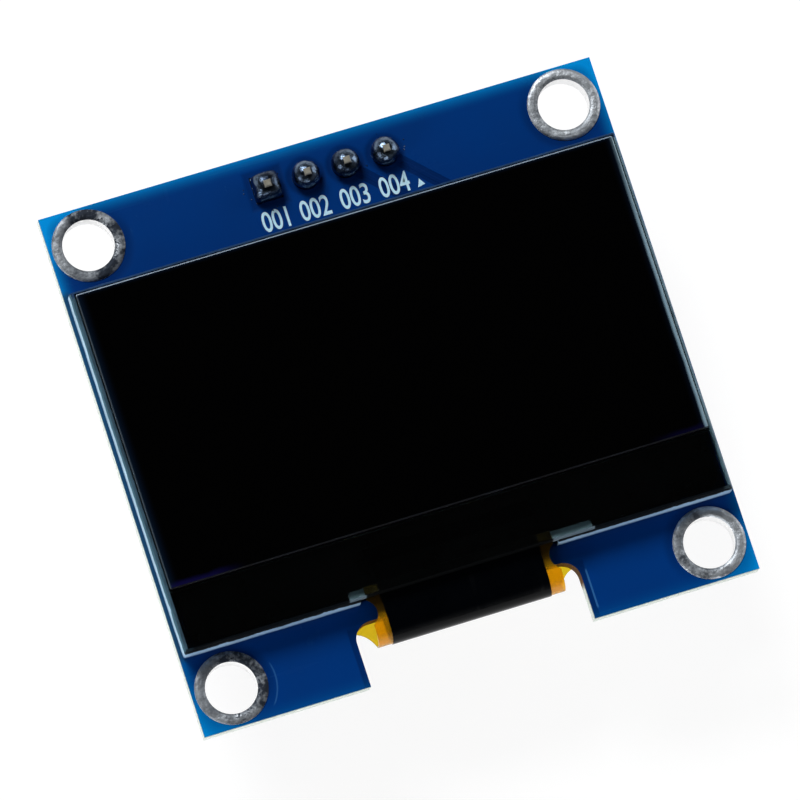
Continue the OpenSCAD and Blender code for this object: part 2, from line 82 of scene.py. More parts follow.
@dataclass(frozen=True)
class Colour:
    """A colour as it shows, with red, green and blue from 0 to 255."""

    r: float
    g: float
    b: float

    def linear(self) -> tuple[float, float, float, float]:
        """The colour in the renderer's linear light, with full alpha.

        Returns:
            Red, green, blue and alpha from 0 to 1.
        """
        def channel(value: float) -> float:
            """One channel in linear light."""
            v = value / 255
            return v / 12.92 if v <= 0.04045 else ((v + 0.055) / 1.055) ** 2.4

        return channel(self.r), channel(self.g), channel(self.b), 1.0


BLACK = Colour(0, 0, 0)
WHITE = Colour(255, 255, 255)


def operator(operation: str) -> Callable[..., "Value"]:
    """A method of Value that adds a Math node.

    Args:
        operation: the node's operation.

    Returns:
        The method.
    """
    def method(value: "Value", *others: object) -> "Value":
        """Adds the node, with this value as its first input."""
        return value.graph.math(operation, value, *others)

    return method


class Value:
    """A number or colour inside a node tree, on which the plain operators add Math nodes."""

    __add__ = operator("ADD")
    __sub__ = operator("SUBTRACT")
    __mul__ = operator("MULTIPLY")
    __truediv__ = operator("DIVIDE")
    __pow__ = operator("POWER")
    __abs__ = operator("ABSOLUTE")
    at_least = operator("MAXIMUM")
    at_most = operator("MINIMUM")
    below = operator("LESS_THAN")

    def __init__(self, graph: "Graph", socket: Socket) -> None:
        """Wraps an output socket.

        Args:
            graph: the tree that it belongs to.
            socket: the socket.
        """
        self.graph = graph
        self.socket = socket

    def __rsub__(self, other: float) -> "Value":
        """The difference from a plain number."""
        return self.graph.math("SUBTRACT", other, self)

    def held(self) -> "Value":
        """The same result, held between 0 and 1."""
        self.socket.node.use_clamp = True
        return self

    def fade(self, low: float, high: float, start: float = 0.0, end: float = 1.0) -> "Value":
        """A smooth step.

        Args:
            low: the value at which the result is start.
            high: the value at which the result is end.
            start: the result at the low end.
            end: the result at the high end.

        Returns:
            The result.
        """
        given = dict(enumerate((self, low, high, start, end)))
        return self.graph.made("ShaderNodeMapRange", given, interpolation_type="SMOOTHSTEP", clamp=True)

    def mix(self, a: object, b: object) -> "Value":
        """A mix of two colours, with as much of b as this share says."""
        return self.graph.made("ShaderNodeMix", {0: self, 6: a, 7: b}, 2, data_type="RGBA")


class Graph:
    """A node tree with short calls for the nodes that the finishes use."""

    def __init__(self, tree: bpy.types.NodeTree) -> None:
        """Starts on an existing tree.

        Args:
            tree: the node tree that the calls add to.
        """
        self.tree = tree

    def node(self, kind: str, **settings: object) -> bpy.types.Node:
        """Adds a node.

        Args:
            kind: Blender's identifier of the node type.
            settings: attributes of the node, set by name.

        Returns:
            The new node.
        """
        made = self.tree.nodes.new(kind)
        for name, value in settings.items():
            setattr(made, name, value)
        return made

    def feed(self, socket: Socket, value: object) -> None:
        """Links a socket to another one, or sets it to a constant.

        Args:
            socket: the input socket.
            value: a Value, an output socket, a number, a tuple or a Colour.
        """
        if isinstance(value, Value):
            value = value.socket
        if isinstance(value, bpy.types.NodeSocket):
            self.tree.links.new(value, socket)
        else:
            socket.default_value = value.linear() if isinstance(value, Colour) else value

    def made(
        self, kind: str, given: dict[str | int, object], output: str | int = 0, **settings: object
    ) -> Value:
        """Adds a node and feeds it.

        Args:
            kind: Blender's identifier of the node type.
            given: what its inputs take, by name or number.
            output: the output that is wanted.
            settings: attributes of the node, set by name.

        Returns:
            That output.
        """
        node = self.node(kind, **settings)
        for key, value in given.items():
            self.feed(node.inputs[key], value)
        return Value(self, node.outputs[output])

    def math(self, operation: str, *values: object) -> Value:
        """A Math node's result for its operation and inputs."""
        return self.made("ShaderNodeMath", dict(enumerate(values)), operation=operation)

    def length(self, x: Value, y: Value) -> Value:
        """The length of a flat vector."""
        return self.math("SQRT", x * x + y * y)

    def distance(self, x: Value, y: Value, centre: Point2) -> Value:
        """The distance of X and Y from an upright axis."""
        return self.length(x - centre[0], y - centre[1])

    def place(self, scale: Point3 = (1000.0, 1000.0, 1000.0), turn: float = 0.0) -> Value:
        """Object coordinates, in millimetres if the scale is left alone.

        Args:
            scale: the factor on each axis.
            turn: the turn about Z, in radians.

        Returns:
            The coordinates.
        """
        coords = self.node("ShaderNodeTexCoord").outputs["Object"]
        given = {"Vector": coords, "Rotation": (0.0, 0.0, turn), "Scale": scale}
        return self.made("ShaderNodeMapping", given)

    def split(self, vector: object) -> tuple[Value, ...]:
        """The X, Y and Z of a vector."""
        parts = self.made("ShaderNodeSeparateXYZ", {0: vector}).socket.node
        return tuple(Value(self, part) for part in parts.outputs)

    @cached_property
    def xyz(self) -> tuple[Value, ...]:
        """The three coordinates, in millimetres."""
        return self.split(self.place())

    @cached_property
    def off(self) -> tuple[Value, Value]:
        """The distances from the part's middle line and from its cross line."""
        return abs(self.xyz[0]), abs(self.xyz[1])

    def noise(
        self, scale: object, detail: float = 3.0, rough: float = 0.5, coords: Value | None = None
    ) -> Value:
        """A noise pattern.

        Args:
            scale: cells for each unit of the coordinates.
            detail: the number of finer layers.
            rough: the weight of the finer layers.
            coords: where it is read, or None for millimetres.

        Returns:
            The pattern, about 0.5 on average.
        """
        given = {"Vector": coords or self.place(), "Scale": scale, "Detail": detail, "Roughness": rough}
        return self.made("ShaderNodeTexNoise", given, "Fac")

    def bump(self, height: Value, depth_mm: float) -> Value:
        """The normal of a relief that is so deep."""
        return self.made("ShaderNodeBump", {"Strength": 1.0, "Distance": depth_mm * MM, "Height": height})

    def effect(self, effect: "Effect", *values: float) -> Value:
        """The mask of a shared effect.

        Args:
            effect: which one.
            values: its inputs in their order.

        Returns:
            The mask.
        """
        given = dict(enumerate(values))
        return self.made("ShaderNodeGroup", given, "Mask", node_tree=effect.group())


class Effect(Enum):
    """The effects that more than one finish uses, each a shader node group."""

    MOTTLE = "mottle"
    SCRATCHES = "fine_scratches"
    SIDE = "side_wall"

    def group(self) -> bpy.types.ShaderNodeTree:
        """The effect's node group, made on first use.

        Returns:
            The node group.
        """
        if self.value in bpy.data.node_groups:
            return bpy.data.node_groups[self.value]
        inputs, build = {
            Effect.MOTTLE: (("Scale", "Contrast"), mottle),
            Effect.SCRATCHES: (("Scale", "Threshold"), scratches),
            Effect.SIDE: (("Limit",), side_wall),
        }[self]
        tree = bpy.data.node_groups.new(self.value, "ShaderNodeTree")
        for name in inputs:
            tree.interface.new_socket(name, in_out="INPUT", socket_type="NodeSocketFloat")
        tree.interface.new_socket("Mask", in_out="OUTPUT", socket_type="NodeSocketFloat")
        graph = Graph(tree)
        start = graph.node("NodeGroupInput")
        mask = build(graph, *(Value(graph, start.outputs[name]) for name in inputs))
        graph.feed(graph.node("NodeGroupOutput").inputs["Mask"], mask)
        return tree


def mottle(graph: Graph, scale: Value, contrast: Value) -> Value:
    """Two noises of different size: cast metal, cloudy resin, worn plastic.

    Args:
        graph: the effect's graph.
        scale: the size of the wide noise's cells.
        contrast: the contrast.

    Returns:
        The mask.
    """
    fine_scale, fine_share, average = 5.3, 0.4, 0.7
    both = graph.noise(scale, 4.0) + graph.noise(scale * fine_scale, 4.0) * fine_share
    return ((both - average) * contrast + 0.5).held()


def scratches(graph: Graph, scale: Value, threshold: Value) -> Value:
    """Fine crossing hairlines.

    Args:
        graph: the effect's graph.
        scale: how close they lie.
        threshold: how rare they are, from 0 to 1.

    Returns:
        The mask.
    """
    sharpness = 12.0
    along, across = (
        graph.noise(scale, 2.0, coords=graph.place(stretch, turn)) - threshold
        for stretch, turn in (((1000, 40, 40), 0.5), ((40, 1000, 40), -0.3)))
    return (along.at_least(across) * sharpness).held()


def side_wall(graph: Graph, limit: Value) -> Value:
    """1 on faces that stand upright on the board, 0 on those that lie along it.

    Args:
        graph: the effect's graph.
        limit: how far upright the normal of an upright face may point.

    Returns:
        The mask.
    """
    normal = graph.node("ShaderNodeTexCoord").outputs["Normal"]
    return abs(graph.split(normal)[2]).below(limit)


class Skin(Graph):
    """A material's graph, with its Principled shader."""

    sockets = {
        "colour": "Base Color", "roughness": "Roughness", "specular": "Specular IOR Level",
        "metallic": "Metallic", "normal": "Normal", "through": "Transmission Weight", "ior": "IOR"}

    def wear(self, **values: object) -> None:
        """Feeds the Principled shader, by the names in sockets."""
        for name, value in values.items():
            self.feed(self.tree.nodes["Principled BSDF"].inputs[self.sockets[name]], value)

    def ray(self, kind: str) -> Value:
        """1 on the rays of a kind, and 0 on others."""
        return self.made("ShaderNodeLightPath", {}, kind)

    def show(self, share: Value, other: Value, under: Value | None = None) -> Value:
        """Mixes a shader in and makes the result the material's surface.

        Args:
            share: how much of the other shader shows.
            other: the other shader.
            under: what it is mixed with, or None for the Principled shader.

        Returns:
            The mixed shader.
        """
        base = under or self.tree.nodes["Principled BSDF"].outputs[0]
        both = self.made("ShaderNodeMixShader", {0: share, 1: base, 2: other})
        self.feed(self.tree.nodes["Material Output"].inputs["Surface"], both)
        return both


# ---------------------------------------------------------------- finishes

@dataclass(frozen=True)
class Finish:
    """What every finish has: a name, a colour and how glossy it is."""

    name: str
    colour: Colour
    roughness: float = 0.4
    specular: float = 0.5

    def material(self) -> bpy.types.Material:
        """The finish as a material, made on first use.

        Returns:
            The material.
        """
        if self.name not in MADE:
            MADE[self.name] = bpy.data.materials.new(self.name)
            MADE[self.name].use_nodes = True
            skin = Skin(MADE[self.name].node_tree)
            skin.wear(colour=self.colour, roughness=self.roughness, specular=self.specular)
            self.dress(skin)
        return MADE[self.name]

    def dress(self, skin: Skin) -> None:
        """Adds what a kind of finish has beyond colour and gloss, to the material's graph."""


@dataclass(frozen=True)
class Moulded(Finish):
    """Plastic, film or tape: cloudy in colour and gloss, with a fine grain and faint hairlines."""

    second: Colour = Colour(60, 60, 60)
    share: float = 0.3
    cell: float = 1.0
    grain_mm: float = 0.004

    def dress(self, skin: Skin) -> None:
        """Mixes a second colour in by clouds, and adds grain and faint hairlines.

        Args:
            skin: the material's graph.
        """
        clouds = skin.effect(Effect.MOTTLE, self.cell, 1.6)
        lines = skin.effect(Effect.SCRATCHES, 2.0, 0.66)
        skin.wear(
            colour=(clouds * self.share).mix(self.colour, self.second),
            roughness=(clouds * 0.12 + lines * 0.1 + (self.roughness - 0.06)).held(),
            normal=skin.bump(skin.noise(14.0, 4.0), self.grain_mm))


@dataclass(frozen=True)
class Metal(Finish):
    """Tin, solder, gold or silicon: mottled, with dull and bright patches."""

    dull: Colour = Colour(60, 60, 60)
    patch: float = 1.6
    contrast: float = 2.4
    grain_mm: float = 0.01
    metallic: float = 1.0

    def dress(self, skin: Skin) -> None:
        """Mixes dull patches in, which are rougher too, over a cast surface.

        Args:
            skin: the material's graph.
        """
        patches = skin.effect(Effect.MOTTLE, self.patch, self.contrast)
        lines = skin.effect(Effect.SCRATCHES, 3.0, 0.62)
        skin.wear(
            colour=patches.mix(self.colour, self.dull), metallic=self.metallic,
            roughness=(patches * 0.18 + lines * 0.08 + self.roughness).held(),
            normal=skin.bump(skin.noise(4.0) + patches, self.grain_mm))


@dataclass(frozen=True)
class RingTin(Metal):
    """Tin that has set in a rounded ring round each mounting hole, with painted light: a white reflection
    in the hole's barrel, and brighter rings on the right.
    """

    centre: Point2 = (0.0, 0.0)
    middle_r: float = 1.0
    half_width: float = 0.5
    swell_mm: float = 0.13
    # barrel: painted reflection of the white floor on the hole's wall
    barrel: Colour = Colour(250, 250, 250)

    def dress(self, skin: Skin) -> None:
        """Rounds the ring's cross-section by its relief and breaks its edges up.

        Args:
            skin: the material's graph.
        """
        x = skin.xyz[0]
        across, along = skin.off
        wobble = skin.noise(1.7) * 0.36 - 0.18
        share = (skin.distance(across, along, self.centre) - self.middle_r) / self.half_width + wobble
        swell = 1.0 - abs(share) ** 3.0
        specks = skin.noise(6.5, 3.0, 0.6).fade(0.40, 0.47, 1.0, 0.0) * share.fade(-0.5, 0.35, 0.75, 0.15)
        dark = skin.effect(Effect.MOTTLE, self.patch, self.contrast).at_least(specks)
        outward = (across - self.centre[0]).fade(-0.6, 1.6, 1.0, 0.45)
        # painted light: the rings on the left are darker, those on the right brighter
        right_side_light = x.fade(-10.0, 10.0, 0.3, -0.12)
        dark = (dark * outward + right_side_light).held()
        tin = dark.mix(self.colour, self.dull)
        # the upright faces take the barrel's painted reflection
        skin.wear(
            colour=skin.effect(Effect.SIDE, 0.5).mix(tin, self.barrel), metallic=self.metallic,
            roughness=dark * 0.2 + self.roughness,
            normal=skin.bump(skin.noise(2.2) * 0.7 + swell, self.swell_mm))


@dataclass(frozen=True)
class Clear(Finish):
    """Glass, resin or film that light passes through, with smears in its gloss."""

    through: float = 1.0
    ior: float = 1.5
    cloud: Colour = WHITE
    cloud_share: float = 0.0
    lets_lamps_in: float = 0.0
    ground_sides: float = 0.0

    def dress(self, skin: Skin) -> None:
        """Makes the shader clear, and lets the lamps reach what lies behind it.

        Args:
            skin: the material's graph.
        """
        smears = skin.effect(Effect.MOTTLE, 0.35, 1.5)
        sides = skin.effect(Effect.SIDE, 0.9)
        skin.wear(
            colour=self.tint(skin, smears), through=self.through, ior=self.ior,
            roughness=smears * 0.02 + sides * self.ground_sides + self.roughness)
        if self.lets_lamps_in:
            clear = skin.made("ShaderNodeBsdfTransparent", {0: self.colour})
            skin.show(skin.ray("Is Shadow Ray") * self.lets_lamps_in, clear)

    def tint(self, skin: Skin, smears: Value) -> Value:
        """The colour, clouded by the smears."""
        return (smears * self.cloud_share).mix(self.colour, self.cloud)


@dataclass(frozen=True)
class Paper(Finish):
    """The white paper that the module stands on, overexposed to the camera and clear from below."""

    glow: float = 0.88
    lit: float = 0.2

    def dress(self, skin: Skin) -> None:
        """Lifts what the camera and mirrors see of the paper to white, and keeps a share of the shadow.

        Args:
            skin: the material's graph.
        """
        camera = skin.ray("Is Camera Ray")
        seen = (camera + skin.ray("Is Glossy Ray") + skin.ray("Is Transmission Ray")).held()
        glow = skin.made("ShaderNodeEmission", {"Strength": self.glow})
        part = skin.made("ShaderNodeBsdfDiffuse", {"Color": (self.lit, self.lit, self.lit, 1.0)})
        top = skin.show(seen, skin.made("ShaderNodeAddShader", {0: glow, 1: part}))
        below = skin.made("ShaderNodeNewGeometry", {}, "Backfacing") * camera
        skin.show(below, skin.made("ShaderNodeBsdfTransparent", {}), top)


@dataclass(frozen=True)
class BoardLayout:
    """Where things lie on the board, in millimetres, read from the imported board."""

    half_w: float
    half_h: float
    ring: Point2
    ring_r: float
    pads: tuple[Point2, ...]
    pad_r: float
    notch_x: float
    notch_y: float

    @staticmethod
    def read() -> "BoardLayout":
        """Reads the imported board.

        Returns:
            Its layout, with the notch found from the board's own corners.
        """
        high = node_box("pcb")[1]
        edge = [v.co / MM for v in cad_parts["pcb"].data.vertices]
        low_y = min(p.y for p in edge)
        notch_x = min(abs(p.x) for p in edge if p.y < low_y + 0.01)
        notch_y = max(p.y for p in edge if abs(p.x) < notch_x - 0.5 and p.y < 0)
        ring, ring_r = middle("mounting_ring_2")
        pads = [middle(node) for node in nodes_of("header_pad_")]
        return BoardLayout(
            high.x, high.y, ring, ring_r, tuple(place for place, _ in pads), pads[-1][1], notch_x, notch_y)


@dataclass(frozen=True)
class SolderMask(Finish):
    """Blue solder mask over copper, bare laminate at the rim with a painted glow, and the cut glass-fibre
    edge.
    """

    layout: BoardLayout | None = None
    # rim: the bare laminate's teal, brightened by a painted glow of light shining up through the laminate
    rim: Colour = Colour(0, 142, 220)
    clearance: Colour = Colour(0, 33, 86)
    # line: painted highlight on the copper's edges
    line: Colour = Colour(46, 100, 158)
    # laminate and fibre: the pale cut laminate, lifted close to white by painted light from the floor below
    laminate: Colour = Colour(246, 252, 246)
    fibre: Colour = Colour(214, 226, 218)
    # painted shade along the top of the cut edge, under the mask's overhang
    upper_edge_shade: Colour = Colour(84, 116, 112)
    shaded: Colour = Colour(24, 66, 98)
    shaded_x: float = -17.2
    shaded_half: float = 11.5
    # under: painted shade on the board under the front glass, nearly black
    under: Colour = Colour(1, 4, 9)
    under_glass_shade_share: float = 0.92
    # notch_shade: painted amber-brown shade on the cut edge inside the notch's top, under the cable
    notch_shade: Colour = Colour(104, 66, 14)
    fibres_per_m: Point3 = (2500.0, 2500.0, 12000.0)
    relief_mm: float = 0.018

    def dress(self, skin: Skin) -> None:
        """Builds the mask's colour and relief from the board's layout.

        Args:
            skin: the material's graph.
        """
        x, y, z = skin.xyz
        across, along = skin.off
        bare, track = self._copper(skin)
        clouds = skin.effect(Effect.MOTTLE, 0.25, 1.0)
        lit = (clouds * 0.25).mix(self.colour, self.clearance)
        lit = (bare * 0.85).mix(lit, self.clearance)
        # painted highlight along the copper's edges
        lit = self._copper_edge_highlight(skin).mix(lit, self.line)
        # painted glow at the rim, over the bare laminate's teal
        lit = self._laminate_and_glow_share(skin).mix(lit, self.rim)
        beside = x.fade(self.shaded_x, self.shaded_x - 0.2)
        beside = beside * along.fade(self.shaded_half, self.shaded_half + 0.6, 0.9, 0.0)
        lit = beside.mix(lit, self.shaded)
        # painted shade: the board under the front glass is darkened nearly to black
        glass_low, glass_high = node_box("front_glass")
        shade_under_glass = across.fade(glass_high.x, glass_high.x - 0.1) * y.fade(glass_low.y, glass_low.y + 0.1)
        shade_under_glass = shade_under_glass * y.fade(glass_high.y, glass_high.y - 0.1) * z.fade(1.0, 1.1)
        lit = (shade_under_glass * self.under_glass_shade_share).mix(lit, self.under)
        sides = skin.effect(Effect.SIDE, 0.5)
        fibres = skin.noise(1.0, 4.0, 0.7, skin.place(self.fibres_per_m))
        # the cut edge: pale as painted light from the floor, with painted shade along its top
        cut = fibres.fade(0.35, 0.65).mix(self.fibre, self.laminate)
        cut = z.fade(0.75, 1.15, 0.0, 0.75).mix(cut, self.upper_edge_shade)
        notch_x, notch_y = self.layout.notch_x, self.layout.notch_y
        # painted shade on the cut edge at the notch's top
        in_notch = across.fade(notch_x + 0.1, notch_x) * y.fade(notch_y - 2.0, notch_y - 1.4)
        cut = in_notch.mix(cut, self.notch_shade)
        lines = skin.effect(Effect.SCRATCHES, 1.2, 0.68)
        relief = 1.0 - bare + track * 0.8 + skin.noise(1.1, 2.0) * 0.25 + fibres * sides * 1.5
        skin.wear(
            colour=sides.mix(lit, cut), normal=skin.bump(relief, self.relief_mm),
            roughness=(sides * 0.45 + lines * 0.06 + clouds * 0.08 + self.roughness).held())

    def _copper_edge_highlight(self, skin: Skin) -> Value:
        """The painted highlight along the copper's edges: beside the notch, and a broken arc round each
        ring.

        Args:
            skin: the material's graph.

        Returns:
            How much the line's colour shows.
        """
        place = self.layout
        x, y, _ = skin.xyz
        beside = abs(x - (place.notch_x + 0.38)).fade(0.03, 0.08, 0.85, 0.0)
        beside = beside * y.fade(place.notch_y - 0.9, place.notch_y - 0.7, 1.0, 0.0)
        beside = beside * y.fade(-place.half_h + 0.5, -place.half_h + 0.7)
        arc = abs(skin.distance(*skin.off, place.ring) - (place.ring_r + 0.53)).fade(0.07, 0.02)
        broken = skin.noise(0.55, 1.0).fade(0.5, 0.62, 0.0, 0.5)
        inner = x.fade(-place.ring[0] + 1.2, -place.ring[0] + 1.8)
        return beside.at_least(arc * broken * inner * x.below(0.0))

    def _laminate_and_glow_share(self, skin: Skin) -> Value:
        """How much of the rim's teal shows: bare laminate at the edges, with a painted glow of light
        through it, most in the four corners.

        Args:
            skin: the material's graph.

        Returns:
            The share of the rim's colour.
        """
        edge_width, corner_width = 0.95, 3.4
        across, along = skin.off
        to_side, to_end = self.layout.half_w - across, self.layout.half_h - along
        # the painted glow is stronger towards the header edge than towards the low edge
        upper = skin.xyz[1].fade(-6.0, 6.0)
        share = (1.0 - to_side / corner_width).held() * (1.0 - to_end / corner_width).held()
        share = share * (upper * 0.25 + 0.6)
        narrowed = along.fade(11.0, 12.0, 0.55, 1.0)
        for gap, low_share in ((to_side / narrowed, 0.45), (to_end, 0.2)):
            near = (1.0 - gap / edge_width).held()
            share = share + near ** 2.0 * 0.62 * (upper * (1.0 - low_share) + low_share)
        return share.held()

    def _copper(self, skin: Skin) -> tuple[Value, Value]:
        """Masks of the copper plane's clearances and of the tracks that run in them.

        Args:
            skin: the material's graph.

        Returns:
            1 where the plane is left out, and 1 on a track.
        """
        place = self.layout
        x, y, _ = skin.xyz
        across, along = skin.off
        off = skin.distance(across, along, place.ring)
        bare = off.fade(place.ring_r + 0.2, place.ring_r + 0.7, 0.6, 0.0)
        bare = bare * across.fade(place.ring[0], place.half_w, 1.0, 0.0)
        bare = bare * along.fade(place.ring[1], place.half_h, 1.0, 0.1)
        square = abs(x - place.pads[0][0]).at_least(abs(y - place.pads[0][1]))
        for gap in (square, *(skin.distance(x, y, pad) for pad in place.pads[1:])):
            bare = bare.at_least(gap.fade(place.pad_r + 0.2, place.pad_r + 0.5, 0.75, 0.0))
        gaps = [self._track_gap(skin, place.pads[-1], 6.0), self._track_gap(skin, place.pads[-2], 5.5)]
        for gap in gaps:
            bare = bare.at_least(gap.fade(0.34, 0.42, 1.0, 0.0))
        first, second = (gap.fade(0.09, 0.15, 1.0, 0.0) for gap in gaps)
        beside = (across - place.notch_x).fade(0.4, 0.32) * y.fade(place.notch_y, place.notch_y - 0.3)
        return bare.at_least(beside * 0.8), first.at_least(second)

    @staticmethod
    def _track_gap(skin: Skin, pad: Point2, length: float) -> Value:
        """The distance from a track that runs from a pad down to the right at 45 degrees.

        Args:
            skin: the material's graph.
            pad: the pad's centre.
            length: the track's length.

        Returns:
            The distance.
        """
        inset = 0.3
        dx, dy = skin.xyz[0] - (pad[0] + inset), skin.xyz[1] - (pad[1] - inset)
        run, off = (dx - dy) * math.sqrt(0.5), (dx + dy) * math.sqrt(0.5)
        return skin.length((run - length).at_least(run * -1.0).at_least(0.0), off)


@dataclass(frozen=True)
class LitSides:
    """Painted light and shade on a plate's edge: a colour for each side, as lit or as shaded as that side
    is, and where those sides lie.
    """

    left: Colour
    right: Colour
    top: Colour
    low: Colour
    half_w: float = 17.1
    top_y: float = 11.1
    low_y: float = -11.5

    def pick(self, skin: Skin) -> Value:
        """The painted colour of the side that a point lies on.

        Args:
            skin: the material's graph.

        Returns:
            The colour.
        """
        x, y, _ = skin.xyz
        shown = x.fade(-self.half_w, -self.half_w + 0.3).mix(self.left, self.low)
        shown = x.fade(self.half_w - 0.3, self.half_w).mix(shown, self.right)
        shown = y.fade(self.top_y - 0.05, self.top_y).mix(shown, self.top)
        below = y.fade(self.low_y, self.low_y + 0.05, 1.0, 0.0) * 0.8
        return below.mix(shown, self.low)


@dataclass(frozen=True)
class Polariser(Finish):
    """The black sheet over the picture, with its cut edge in painted light and shade, pale on the right and
    top, and a faint teal rim.
    """

    # cut: painted light and shade on each side of the cut edge
    cut: LitSides = LitSides(
        Colour(30, 46, 58), Colour(128, 156, 170), Colour(128, 148, 168), Colour(1, 1, 2),
        half_w=17.08, top_y=11.1, low_y=-7.68)
    rim: Colour = Colour(9, 22, 38)
    rim_width: float = 0.7
    squeezed: Colour = Colour(124, 152, 168)
    # a violet streak along the lower edge near the two corners
    violet_streak: Colour = Colour(24, 20, 80)
    half_w: float = 1.0
    middle_y: float = 0.0
    half_h: float = 1.0

    def dress(self, skin: Skin) -> None:
        """Adds the cut edge in painted light and shade, the rim and the faint hairlines of a wiped surface.

        Args:
            skin: the material's graph.
        """
        offset = skin.xyz[1] - self.middle_y
        gap = (self.half_w - skin.off[0]).at_most((self.half_h - offset) * 2.0)
        near = (1.0 - gap / self.rim_width).held() ** 2.0
        sides = skin.effect(Effect.SIDE, 0.97)
        smears = skin.effect(Effect.MOTTLE, 0.5, 1.6)
        lines = skin.effect(Effect.SCRATCHES, 1.0, 0.7)
        face = near.mix(self.colour, self.rim)
        face = self._squeezed_share(skin).mix(face, self.squeezed)
        face = self._violet_streak_share(skin, offset).mix(face, self.violet_streak)
        skin.wear(
            colour=sides.mix(face, (smears * 0.4).mix(self.cut.pick(skin), self.rim)),
            roughness=smears * 0.03 + lines * 0.03 + sides * 0.3 + self.roughness,
            normal=skin.bump(smears, 0.0004))

    def _squeezed_share(self, skin: Skin) -> Value:
        """How much of the adhesive squeezed over the right edge shows, uneven along it.

        Args:
            skin: the material's graph.

        Returns:
            The share of the adhesive's colour.
        """
        x, y, _ = skin.xyz
        band = (skin.noise(0.5, 2.0) * 0.12 + x).fade(self.half_w - 0.24, self.half_w - 0.04)
        return band * y.fade(self.middle_y + self.half_h - 0.1, self.middle_y + 2.0, 0.25, 1.0)

    def _violet_streak_share(self, skin: Skin, offset: Value) -> Value:
        """How much of the violet streak near the two lower corners shows.

        Args:
            skin: the material's graph.
            offset: the distance above the sheet's middle line.

        Returns:
            The share of the smudge's colour.
        """
        x = skin.xyz[0]
        ends = x.fade(-self.half_w + 5.0, -self.half_w + 2.0)
        ends = ends + x.fade(self.half_w - 4.0, self.half_w - 1.5, 0.0, 0.4)
        wavy = skin.noise(0.7, 2.0) * 0.5 + offset
        return ends * wavy.fade(-self.half_h + 0.35, -self.half_h + 0.75, 1.0, 0.0) * 0.4


@dataclass(frozen=True)
class ChipPart(Finish):
    """A chip capacitor or resistor: its body's colour between two tinned ends."""

    second: Colour = Colour(60, 60, 60)
    tin: Colour = Colour(176, 178, 182)
    dull: Colour = Colour(110, 112, 116)
    row_y: float = 0.0
    body_half: float = 0.5

    def dress(self, skin: Skin) -> None:
        """Puts metal on the two ends.

        Args:
            skin: the material's graph.
        """
        ends = abs(skin.xyz[1] - self.row_y).fade(self.body_half - 0.02, self.body_half + 0.02)
        clouds = skin.effect(Effect.MOTTLE, 3.0, 1.8)
        body = (clouds * 0.4).mix(self.colour, self.second)
        skin.wear(
            colour=ends.mix(body, (clouds * 0.5).mix(self.tin, self.dull)), metallic=ends,
            roughness=clouds * 0.15 + self.roughness, normal=skin.bump(skin.noise(9.0), 0.01))


@dataclass(frozen=True)
class GroundEdge(Finish):
    """The ground edge of the glass in painted light and shade: each side as bright as the light that shows
    through it, dark over the cable, and pale where resin wets it.
    """

    # sides: painted light and shade, a colour for each side of the edge
    sides: LitSides = LitSides(Colour(58, 84, 100), Colour(108, 136, 150), Colour(36, 64, 100), Colour(2, 6, 10))
    # dark_patches: dark patches that break the painted pale edge up
    dark_patches: Colour = Colour(6, 12, 18)
    # dark: painted shade over the cable, where no light shows through
    dark: Colour = Colour(2, 3, 4)
    open_half: float = 6.2
    open_y: float = -11.3
    wet: Colour = Colour(92, 108, 120)
    wet_from: float = 5.95
    wet_left: float = -6.95
    wet_right: float = 8.55

    def dress(self, skin: Skin) -> None:
        """Breaks the painted pale edge up, paints shade on its open stretch and wets it beside the cable.

        Args:
            skin: the material's graph.
        """
        x, y, _ = skin.xyz
        across = skin.off[0]
        clouds = skin.effect(Effect.MOTTLE, 0.5, 2.2)
        low_edge = y.fade(self.open_y, self.open_y - 0.1)
        opened = across.fade(self.open_half - 0.3, self.open_half + 0.3, 1.0, 0.0) * low_edge
        wetted = across.fade(self.wet_from - 0.05, self.wet_from + 0.05) * low_edge
        wetted = wetted * x.fade(self.wet_left - 0.1, self.wet_left)
        wetted = wetted * x.fade(self.wet_right, self.wet_right + 0.1, 1.0, 0.0)
        pale = (clouds * 0.6).mix(self.sides.pick(skin), self.dark_patches)
        skin.wear(
            colour=wetted.mix(opened.mix(pale, self.dark), self.wet),
            roughness=clouds * 0.2 + self.roughness, normal=skin.bump(skin.noise(16.0), 0.006))


@dataclass(frozen=True)
class Fillet(Finish):
    """The milky bead round the glass, in painted light and shade: blue where it meets the board, palest on
    its shoulder, darker on top and on the header side.
    """

    # sides: painted light and shade of the bead's shoulder, side by side
    sides: LitSides = LitSides(
        Colour(180, 214, 236), Colour(150, 168, 184), Colour(34, 60, 98), Colour(150, 182, 214),
        half_w=17.4, top_y=11.42, low_y=-11.55)
    foot: Colour = Colour(14, 58, 108)
    # tops: painted light and shade along the bead's top, side by side
    tops: LitSides = LitSides(
        Colour(62, 94, 110), Colour(124, 146, 160), Colour(22, 52, 92), Colour(5, 11, 18),
        half_w=17.4, top_y=11.42, low_y=-11.55)
    low_z: float = 1.2
    high_z: float = 2.55

    def dress(self, skin: Skin) -> None:
        """Paints light and shade on the bead by height and by side, with cloudy streaks along it.

        Args:
            skin: the material's graph.
        """
        clouds = skin.effect(Effect.MOTTLE, 0.6, 2.4)
        share = (skin.xyz[2] - self.low_z) / (self.high_z - self.low_z) + (clouds * 0.16 - 0.08)
        top = self.tops.pick(skin)
        body = share.fade(0.0, 0.4).mix(self.foot, self.sides.pick(skin))
        body = share.fade(0.8, 0.9).mix(body, top)
        skin.wear(
            colour=(clouds * 0.25).mix(body, top), roughness=clouds * 0.15 + self.roughness,
            normal=skin.bump(skin.noise(3.0), 0.02))


